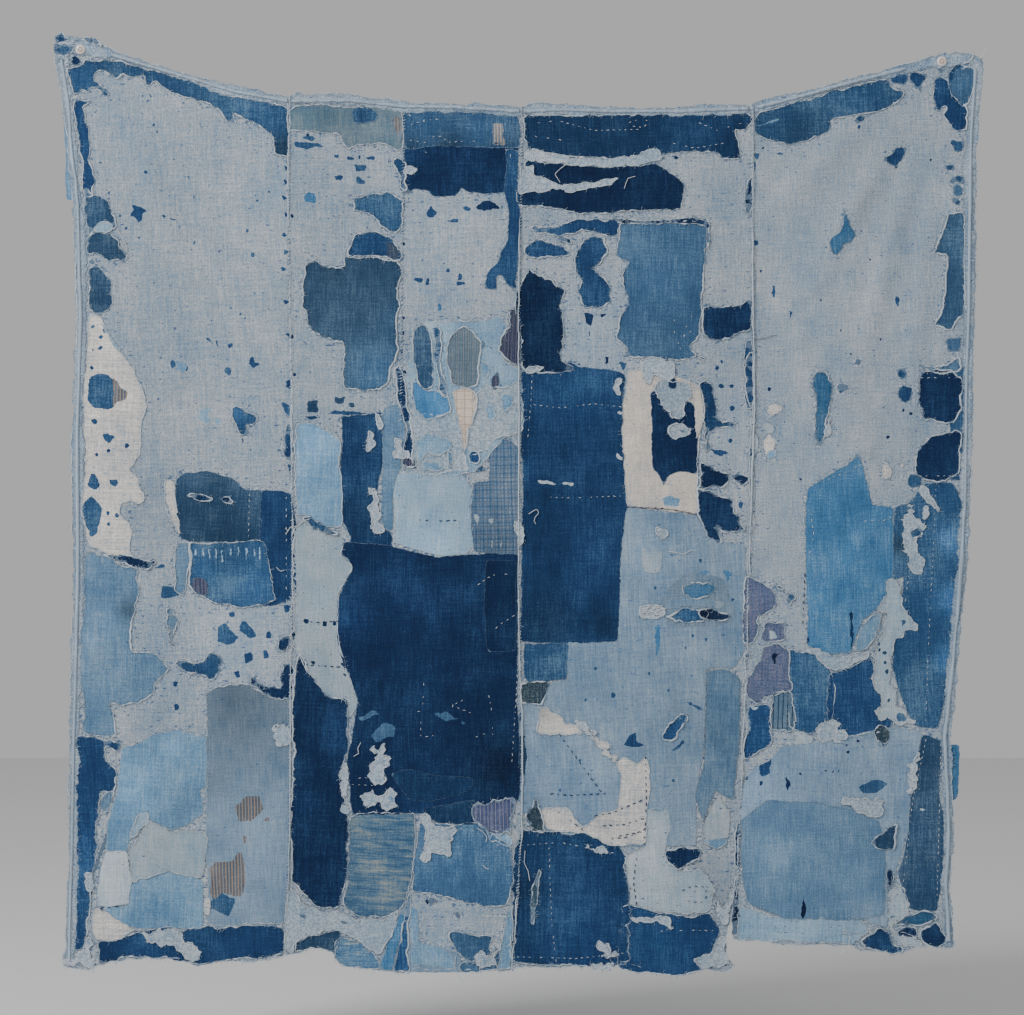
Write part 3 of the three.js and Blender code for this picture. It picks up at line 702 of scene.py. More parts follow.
        ("navy", 2, 0.8, [(188, 494), (204, 495), (215, 500), (206, 502), (192, 499)]),
        ("navy", 2, 0.8, [(220, 498), (227, 496), (235, 500), (232, 503), (223, 502)]),
        ("cream", 2, 0.9, [(167, 480), (175, 481), (175, 500), (180, 520), (181, 535), (175, 530),
            (168, 505)]),
        ("indigo", 1, 1.0, [(78, 737), (108, 737), (122, 740), (121, 748), (107, 746), (106, 758),
            (121, 772), (116, 789), (103, 792), (98, 835), (96, 862), (91, 885), (88, 930), (86, 950),
            (73, 950), (74, 870), (76, 760)], dict(shades=[(82, 850, 40, 0.1)])),
        ("dullBlue", 1, 0.9, [(104, 792), (114, 790), (110, 812), (102, 812)]),
        ("navy", 1, 0.7, [(109, 828), (107, 842), (98, 865), (95, 872), (102, 845)]),
        # the narrow darker spot at (151, 790) is painted shade along a vertical crease
        ("lightBlue", 1, 0.7, [(123, 747), (138, 745), (155, 733), (178, 729), (200, 736), (208, 737),
            (207, 785), (199, 790), (204, 812), (190, 824), (172, 830), (152, 820), (141, 812), (133, 832),
            (128, 850), (108, 850), (109, 822), (119, 790), (119, 772)], dict(shades=[(130, 790, 30, 0.14),
            (185, 805, 24, -0.08), (174, 748, 10, 0.14), (151, 790, 6, -0.06)])),
        ("paleBlue", 2, 0.9, [(141, 812), (148, 813), (150, 820), (131, 841), (130, 836)]),
        ("pale", 2, 0.95, [(150, 820), (172, 831), (185, 830), (207, 832), (207, 860), (204, 878),
            (185, 877), (172, 872), (160, 871), (148, 876), (134, 882), (131, 850), (145, 828)],
            dict(tone=-0.03, shades=[(165, 850, 20, -0.03)])),
        ("pale", 2, 0.7, [(108, 850), (128, 850), (133, 880), (130, 903), (100, 905), (98, 893),
            (101, 868)], dict(tone=0.04)),
        ("lightBlue", 1, 0.7, [(130, 885), (150, 874), (178, 870), (203, 880), (203, 928), (150, 928),
            (110, 922), (105, 905), (128, 905)]),
        ("cream", 2, 0.9, [(95, 905), (108, 910), (125, 922), (138, 928), (118, 938), (98, 938),
            (92, 918)]),
        ("deep", 1, 0.9, [(98, 940), (115, 938), (145, 928), (203, 928), (240, 924), (284, 925), (284, 954),
            (229, 960), (198, 964), (165, 956), (130, 955), (100, 962)], dict(shades=[(250, 940, 30, 0.1),
            (150, 945, 30, 0.12)])),
        ("torn", 2, 1.2, [(142, 930), (180, 931), (190, 941), (203, 958), (195, 962), (175, 946),
            (155, 946), (145, 935)]),
        ("torn", 2, 1.3, [(66, 956), (80, 955), (97, 959), (96, 967), (80, 968), (66, 966)]),
        ("paleGrey", 1, 0.8, [(207, 693), (221, 686), (250, 684), (270, 697), (290, 699), (291, 860),
            (288, 900), (285, 922), (245, 923), (215, 929), (203, 912), (206, 895), (208, 720)],
            dict(tone=-0.03, shades=[(250, 700, 60, -0.29), (212, 780, 16, -0.08), (262, 712, 30, 0.08),
            (250, 850, 60, 0.04)], marks=[("midBlue", [[(212, 897), (222, 892), (235, 899), (229, 916),
            (210, 908)], [(210, 905), (213, 903), (212, 910)]]), ("brownStripe", [[(244, 835), (248, 836),
            (248, 843), (244, 842)], [(263, 820), (269, 817), (270, 822)], [(236, 805), (247, 796),
            (260, 795), (263, 810), (252, 821), (240, 822)], [(238, 850), (243, 851), (245, 862),
            (247, 880), (242, 896), (222, 891), (216, 898), (212, 893), (209, 868), (217, 862),
            (233, 859)]])])),
        ("torn", 2, 1.3, [(272, 722), (290, 724), (292, 740), (280, 742)]),
        ("cream", 2, 0.8, [(204, 898), (210, 895), (211, 905), (209, 915), (205, 913)]),
        ("torn", 2, 1.2, [(86, 871), (94, 872), (95, 895), (90, 890)]),
        ("torn", 2, 1.1, [(85, 935), (92, 934), (92, 944), (86, 945)]),
    ],
    "backing": [
        ("lightBlue", -1.6, 0.6, [(61, 88), (75, 88), (80, 200), (67, 201), (65, 175), (66, 150),
            (63, 115)]),
        ("midBlue", -1.6, 0.6, [(180, 480), (290, 480), (290, 610), (200, 610)]),
        ("lightBlue", -1.6, 0.6, [(78, 720), (284, 720), (284, 940), (80, 940)]),
        ("indigo", -1.6, 0.6, [(75, 60), (150, 80), (140, 330), (85, 330)]),
    ],
}
buildPanel(firstPanel)


# second panel
seamTwo = [(522, 108), (522, 110), (521, 205), (519, 310), (520, 410), (519, 590), (521, 690), (522, 740),
    (521, 835), (518, 885), (515, 930), (513, 969)]
secondPanel = {
    "name": "second", "node": "panel_2", "pins": ["pin_head_left", "pin_head_right"], "tall": 1.22, "cloth":
    "worn",
    "outline": [(289, 98), (299, 91), (303, 95), (350, 96), (399, 101), (430, 105), (510, 107)] + seamTwo +
        [(497, 969), (456, 968), (425, 968), (415, 965), (410, 972), (375, 969), (345, 966), (335, 959),
        (331, 951), (318, 946), (305, 950), (286, 955)] + seamOne[-2:1:-1],
    "holes": [],
    "marks": [
        ("navy", dots([(288, 170, 1.6), (288, 185, 1.8), (287, 199, 1.2), (292, 217, 2), (286, 236, 1.5),
            (287, 252, 1.7), (289, 302, 1.4), (293, 337, 2), (289, 344, 1.4), (295, 374, 1.6),
            (289, 388, 2), (403, 318, 1.6), (404, 333, 1.8), (402, 352, 1.4), (405, 372, 2),
            (403, 392, 1.6), (404, 245, 1.8), (308, 136, 1.8), (337, 178, 1.8), (428, 901, 2.4)])),
        ("indigo", [[(334, 155), (339, 155), (338, 159), (334, 158)], [(347, 157), (356, 158), (354, 161),
            (348, 160)], [(358, 155), (362, 156), (360, 160)], [(364, 157), (375, 158), (374, 161),
            (366, 160)], [(333, 176), (343, 177), (341, 181), (335, 180)], [(447, 220), (458, 220),
            (458, 223), (447, 223)], [(426, 213), (430, 210), (431, 206), (434, 210), (437, 212),
            (434, 219), (429, 219)], [(461, 208), (467, 206), (471, 209), (468, 212)], [(414, 279),
            (424, 279), (422, 283), (415, 283)], [(426, 279), (430, 278), (430, 285), (427, 286)],
            [(457, 282), (466, 283), (465, 286), (458, 286)], [(445, 273), (448, 268), (450, 273)],
            [(459, 272), (463, 280), (457, 281)]]),
        ("navy", [[(477, 208), (483, 202), (490, 201), (500, 207), (501, 211), (496, 209), (484, 212)]]),
        ("midBlue", [[(303, 139), (313, 136), (318, 139), (312, 142)], [(294, 143), (318, 143), (325, 147),
            (308, 149), (297, 148)], [(355, 164), (366, 166), (365, 172), (356, 171)], [(357, 177),
            (367, 181), (365, 185), (358, 184)]]),
        ("clearBlue", [[(304, 198), (308, 194), (314, 194), (317, 198), (315, 204), (305, 203)],
            box(438, 303, 441, 311)]),
        ("slate", [box(308, 400, 318, 412), [(335, 397), (347, 397), (343, 404), (336, 403)], [(349, 403),
            (356, 402), (355, 407), (350, 407)]]),
        ("indigo", [[(304, 416), (322, 417), (312, 419)], [(327, 415), (335, 411), (383, 413),
            (350, 415)]]),
    ],
    "shades": [(330, 330, 50, 0.02), (455, 240, 60, 0.03), (395, 345, 20, -0.05), (460, 940, 50, 0.05)],
    "patches": [
        ("smoke", 1, 0.8, [(290, 109), (303, 106), (370, 107), (395, 109), (403, 113), (403, 148),
            (398, 152), (380, 143), (360, 144), (348, 150), (340, 134), (312, 132), (290, 131)],
            dict(tone=-0.07, shades=[(300, 115, 20, 0.05), (330, 118, 14, -0.06), (385, 130, 14, 0.05)])),
        ("midBlue", 2, 0.7, [(352, 110), (366, 106), (378, 114), (377, 121), (368, 124), (355, 124)],
            dict(shades=[(363, 116, 6, -0.15)])),
        ("brownStripe", 2, 0.7, [(390, 117), (401, 117), (403, 124), (400, 145), (395, 130)]),
        ("indigo", 1, 0.9, [(391, 160), (401, 160), (407, 165), (404, 183), (407, 193), (403, 190),
            (398, 174)]),
        ("midBlue", 1, 1.0, [(349, 198), (381, 195), (406, 200), (402, 214), (401, 229), (391, 233),
            (383, 228), (374, 216), (354, 212)]),
        ("indigo", 1, 0.9, [(348, 252), (355, 236), (373, 233), (391, 240), (402, 252), (400, 262),
            (370, 257), (347, 258)], dict(marks=[("darkStripe", [[(386, 241), (400, 250), (398, 260),
            (386, 258)]])])),
        ("greyBlue", 1, 1.0, [(306, 266), (315, 261), (321, 267), (341, 267), (347, 257), (370, 258),
            (400, 263), (399, 320), (396, 362), (387, 386), (362, 392), (346, 386), (344, 362), (347, 342),
            (328, 339), (310, 329), (304, 308), (303, 285)], dict(tone=-0.2, shades=[(375, 375, 34, 0.28),
            (395, 320, 14, 0.1), (330, 275, 18, -0.06)])),
        ("slate", 1, 0.7, [(403, 113), (432, 112), (480, 113), (519, 117), (520, 150), (480, 148),
            (440, 146), (404, 150)], dict(tone=0.12, shades=[(425, 122, 22, 0.14), (478, 130, 20, 0.16),
            (505, 125, 12, 0.1), (450, 152, 18, -0.3), (500, 152, 14, -0.15), (410, 150, 12, -0.2)],
            marks=[("brownStripe", [box(493, 124, 504, 145)])])),
        ("navy", 0.8, 0.7, [(403, 144), (440, 140), (519, 144), (517, 170), (506, 193), (480, 194),
            (465, 192), (462, 188), (456, 197), (434, 197), (427, 190), (415, 189), (404, 195),
            (405, 170)]),
        ("torn", 2, 0.9, [(404, 167), (413, 166), (419, 170), (413, 174), (404, 173)]),
        ("indigo", 1, 0.75, [(506, 150), (519, 150), (517, 180), (521, 220), (519, 262), (516, 290),
            (510, 290), (501, 275), (496, 277), (498, 290), (484, 289), (489, 271), (498, 263), (508, 240),
            (509, 212), (505, 193)]),
        ("paleBlue", 1, 0.9, [(414, 330), (428, 321), (450, 324), (470, 321), (500, 318), (510, 330),
            (503, 345), (500, 360), (521, 370), (522, 432), (506, 438), (490, 452), (476, 474), (420, 474),
            (416, 440), (412, 410), (405, 380), (410, 350)], dict(shades=[(495, 400, 20, -0.06),
            (430, 450, 20, -0.08)])),
        ("slate", 2, 0.8, [(413, 345), (415, 330), (421, 324), (428, 328), (432, 338), (433, 360),
            (433, 388), (424, 388), (416, 372), (412, 360)], dict(tone=0.1)),
        ("midBlue", 2, 0.9, [(434, 327), (440, 326), (440, 345), (441, 366), (447, 386), (446, 398),
            (441, 391), (437, 372), (434, 350)], dict(tone=0.1)),
        ("torn", 1.2, 1.0, [(408, 418), (425, 414), (441, 416), (452, 410), (458, 428), (463, 452),
            (468, 470), (440, 474), (420, 474), (414, 460), (412, 440)]),
        ("torn", 1.2, 0.95, [(474, 396), (486, 384), (500, 388), (519, 382), (521, 430), (508, 437),
            (494, 440), (488, 452), (474, 456), (468, 446), (472, 425)], dict(tone=-0.02)),
        ("clearBlue", 2, 0.9, [(411, 380), (420, 384), (430, 392), (441, 392), (448, 398), (452, 410),
            (440, 417), (425, 418), (414, 410)], dict(tone=0.16, shades=[(420, 402, 8, -0.1)])),
        ("greyStripe", 2, 0.8, [(448, 344), (455, 332), (463, 325), (472, 331), (481, 342), (480, 360),
            (477, 386), (464, 388), (451, 385), (448, 365)], dict(tone=-0.06)),
        ("gridded", 2, 0.8, [(453, 391), (470, 388), (478, 396), (476, 412), (472, 425), (468, 438),
            (463, 452), (460, 430), (456, 406)]),
        ("navy", 3, 0.7, [(480, 341), (485, 342), (482, 349), (480, 347)]),
        ("plumStripe", 2, 0.9, [(510, 311), (516, 310), (521, 335), (523, 363), (519, 368), (506, 358),
            (499, 352), (501, 338), (509, 330)], dict(tone=-0.2)),
        ("plumStripe", 2, 0.7, [(492, 377), (498, 370), (499, 382), (496, 391), (491, 385)],
            dict(tone=-0.15)),
        ("lightBlue", 3, 0.9, [(418, 440), (430, 434), (448, 437), (452, 447), (440, 457), (428, 452),
            (420, 462), (416, 452)]),
        ("clearBlue", 2, 0.8, [(447, 450), (452, 452), (454, 465), (450, 467)]),
        ("lightBlue", 2, 0.9, [(482, 360), (492, 366), (486, 380), (480, 372)]),
        ("lightBlue", 2, 0.9, [(500, 396), (512, 392), (515, 404), (504, 410)], dict(tone=0.05)),
        ("lightBlue", 2, 0.9, [(484, 410), (492, 404), (496, 416), (488, 424)], dict(tone=0.05)),
        ("lightBlue", 3, 0.9, [(420, 460), (436, 462), (444, 470), (424, 471)]),
        ("indigo", 2, 0.8, [(470, 452), (478, 450), (482, 458), (480, 464), (471, 462)], dict(tone=0.1)),
        ("indigo", 2, 0.7, [(478, 468), (484, 466), (487, 470), (480, 472)]),
        ("navy", 1, 0.85, [(395, 368), (401, 364), (405, 385), (410, 410), (414, 440), (417, 467),
            (404, 467), (403, 455), (407, 440), (404, 420), (398, 395)], dict(tone=0.06)),
        ("plumStripe", 2, 0.8, [(402, 460), (408, 457), (416, 461), (416, 467), (403, 467)],
            dict(tone=-0.2)),
        ("lightBlue", 1, 0.8, [(297, 424), (314, 423), (330, 432), (341, 440), (341, 475), (342, 528),
            (325, 527), (303, 513), (298, 515), (295, 450)], dict(tone=0.08, shades=[(315, 440, 20, 0.12),
            (325, 500, 20, -0.04)])),
        ("midBlue", 2, 0.9, [(303, 518), (310, 516), (332, 530), (342, 533), (334, 536), (318, 530)]),
        ("deep", 0.8, 0.7, [(342, 416), (382, 414), (381, 430), (384, 460), (376, 500), (372, 525),
            (392, 533), (395, 556), (341, 556), (352, 538), (343, 520), (340, 475), (342, 440)],
            dict(shades=[(360, 520, 25, -0.1)])),
        ("dullBlue", 1, 0.7, [(383, 408), (392, 405), (398, 404), (404, 420), (406, 440), (400, 455),
            (401, 468), (395, 482), (393, 500), (394, 530), (388, 532), (381, 520), (382, 480), (383, 440)],
            dict(shades=[(392, 415, 12, 0.06)])),
        ("torn", 2, 1.1, [(375, 412), (380, 417), (383, 428), (380, 432), (377, 424)]),
        ("torn", 2, 1.2, [(366, 487), (375, 486), (379, 491), (377, 505), (380, 520), (383, 532),
            (377, 531), (372, 515), (374, 500), (368, 495)]),
        ("torn", 2, 1.2, [(396, 440), (404, 437), (406, 444), (403, 452), (408, 458), (398, 461),
            (394, 456), (399, 449)]),
        ("torn", 2, 1.0, [(370, 430), (374, 433), (373, 438), (376, 442), (372, 449), (366, 450),
            (367, 445), (363, 441), (368, 439)]),
        ("paleBlue", 1, 0.7, [(398, 473), (430, 472), (462, 473), (473, 492), (470, 508), (473, 545),
            (466, 554), (440, 556), (394, 543), (395, 512), (392, 490)], dict(shades=[(430, 545, 22, 0.12),
            (450, 500, 26, -0.04)])),
        ("plaid", 1, 0.7, [(473, 482), (490, 481), (489, 455), (494, 440), (508, 439), (517, 445),
            (520, 480), (518, 555), (474, 552), (471, 525), (470, 505)], dict(shades=[(495, 545, 24, -0.12),
            (500, 450, 12, 0.06)], marks=[("pale", [[(473, 513), (480, 516), (478, 525)], [(487, 519),
            (494, 519), (491, 525)], [(491, 540), (493, 541), (492, 548)], [(501, 539), (502, 541),
            (500, 549)]])])),
        ("torn", 2, 0.9, [(513, 522), (519, 522), (523, 529), (521, 547), (517, 549), (516, 535)]),
        ("pale", 1, 0.8, [(294, 527), (305, 520), (322, 531), (346, 541), (342, 555), (352, 566),
            (340, 590), (337, 617), (341, 650), (355, 693), (358, 706), (350, 716), (346, 698), (328, 698),
            (308, 672), (294, 642)], dict(tone=-0.03, shades=[(325, 600, 12, 0.06), (312, 660, 20, -0.03)],
            marks=[("navy", [box(304, 619, 309, 624), box(323, 621, 328, 626), box(333, 620, 336, 625),
            [(341, 663), (346, 665), (345, 671)], [(311, 661), (316, 660), (315, 665)], [(292, 632),
            (297, 634), (294, 641)], [(343, 673), (347, 674), (346, 678)]])])),
        ("navy", 1.1, 0.7, [(342, 541), (391, 546), (438, 557), (466, 555), (495, 553), (519, 555),
            (517, 700), (520, 745), (519, 800), (480, 812), (352, 815), (348, 760), (356, 712), (358, 700),
            (345, 665), (337, 640), (337, 617), (338, 600), (343, 587), (351, 573), (353, 566), (349, 560),
            (342, 554)], dict(shades=[(497, 765, 26, -0.25), (435, 800, 40, 0.1), (400, 620, 60, 0.06),
            (350, 620, 18, 0.14)], marks=[("greyBlue", [[(358, 716), (375, 711), (381, 713), (362, 720)],
            [(435, 713), (447, 712), (460, 718), (446, 721)], [(371, 735), (384, 722), (397, 727),
            (394, 737), (376, 740)]]), ("greyBlue", [[(461, 721), (467, 722), (464, 725)]])])),
        ("deep", 2, 0.6, [(391, 773), (410, 768), (440, 775), (473, 777), (473, 788), (455, 795),
            (430, 801), (410, 800), (400, 787)], dict(tone=-0.06)),
        ("deep", 1.2, 0.7, [(424, 808), (450, 803), (476, 799), (477, 824), (455, 824), (440, 823),
            (426, 816)], dict(tone=-0.12)),
        ("navy", 1.2, 0.6, [(486, 560), (516, 560), (516, 650), (488, 652), (484, 610)], dict(tone=-0.04)),
        ("navy", 1, 0.9, [(299, 651), (308, 672), (328, 697), (347, 698), (348, 750), (341, 768),
            (345, 800), (348, 830), (348, 870), (340, 908), (315, 904), (293, 880), (293, 765), (292, 690)],
            dict(shades=[(300, 800, 16, 0.12), (335, 730, 18, 0.08)])),
        ("torn", 2, 1.1, [(343, 762), (349, 763), (348, 797), (343, 797), (341, 780)]),
        ("paleBlue", 2, 1.0, box(342, 803, 349, 812)),
        ("torn", 2, 1.4, [(372, 744), (384, 744), (391, 760), (389, 781), (374, 780), (378, 758)]),
        ("torn", 2, 1.3, [(359, 797), (370, 791), (395, 793), (398, 808), (378, 806), (362, 802)],
            dict(marks=[("lightBlue", [[(389, 796), (396, 797), (394, 803)]])])),
        ("weftStripe", 1, 0.8, [(350, 817), (365, 812), (415, 813), (413, 870), (404, 905), (385, 917),
            (357, 916), (343, 905), (348, 880)]),
        ("lightBlue", 1, 0.9, [(487, 829), (511, 834), (512, 845), (490, 841)], dict(tone=0.12)),
        ("plumStripe", 2, 1.1, [(473, 802), (500, 800), (514, 797), (516, 812), (511, 834), (487, 829),
            (474, 818)], dict(tone=0.12)),
        ("greyBlue", 1, 0.8, [(421, 822), (455, 824), (478, 822), (511, 845), (513, 880), (507, 902),
            (485, 906), (434, 893), (411, 891), (414, 860)], dict(tone=0.1)),
        ("torn", 2, 1.2, [(422, 813), (426, 815), (446, 826), (455, 828), (449, 852), (434, 851),
            (422, 862), (424, 840)]),
        ("lightBlue", 1, 0.7, [(410, 905), (418, 908), (419, 942), (440, 946), (453, 955), (458, 968),
            (412, 963)]),
        ("greyBlue", 1, 0.9, [(448, 931), (470, 933), (494, 934), (490, 955), (472, 962), (456, 948)]),
        ("greyBlue", 1, 0.8, [(460, 962), (488, 958), (513, 940), (512, 968), (462, 970)]),
        ("paleGrey", 0.8, 0.7, [(404, 941), (430, 945), (458, 950), (466, 972), (404, 970)]),
        ("torn", 2, 1.3, [(475, 957), (488, 957), (494, 943), (499, 939), (496, 962), (487, 967),
            (478, 963)]),
        ("lightBlue", 2, 0.8, [(509, 905), (513, 905), (510, 968), (497, 968), (501, 942)]),
        ("clearBlue", 1, 0.7, [(404, 905), (408, 905), (405, 920), (392, 970), (379, 968), (388, 942)]),
        ("indigo", 1, 0.8, [(409, 893), (412, 895), (409, 925), (407, 960), (410, 972), (393, 970),
            (401, 935)], dict(tone=0.12)),
        ("navy", 2, 0.7, [(426, 899), (437, 898), (433, 904)]),
        ("navy", 2, 0.7, [(454, 911), (461, 912), (458, 918)]),
        ("slate", 1, 0.9, [(296, 942), (308, 934), (338, 929), (342, 934), (334, 951), (318, 946),
            (296, 950)]),
        ("weftStripe", 1, 0.8, [(334, 942), (340, 935), (360, 941), (375, 955), (380, 968), (345, 966),
            (335, 959)], dict(tone=0.2)),
        ("torn", 2, 0.9, [(291, 885), (300, 901), (320, 910), (338, 909), (357, 918), (385, 919),
            (400, 907), (394, 928), (380, 954), (360, 941), (338, 929), (312, 933), (296, 940), (292, 952),
            (286, 945), (285, 915)]),
        ("navy", 3, 0.7, [(299, 913), (307, 914), (306, 917), (301, 917)]),
        ("navy", 3, 0.6, [(340, 919), (349, 923), (343, 924)]),
    ],
    "backing": [
        ("midBlue", -1.6, 0.6, [(404, 114), (518, 118), (519, 290), (404, 290)]),
        ("indigo", -1.6, 0.6, [(340, 560), (515, 560), (515, 820), (345, 830)]),
        ("dullBlue", -1.6, 0.6, [(292, 266), (395, 266), (395, 520), (296, 520)]),
    ],
}
buildPanel(secondPanel)


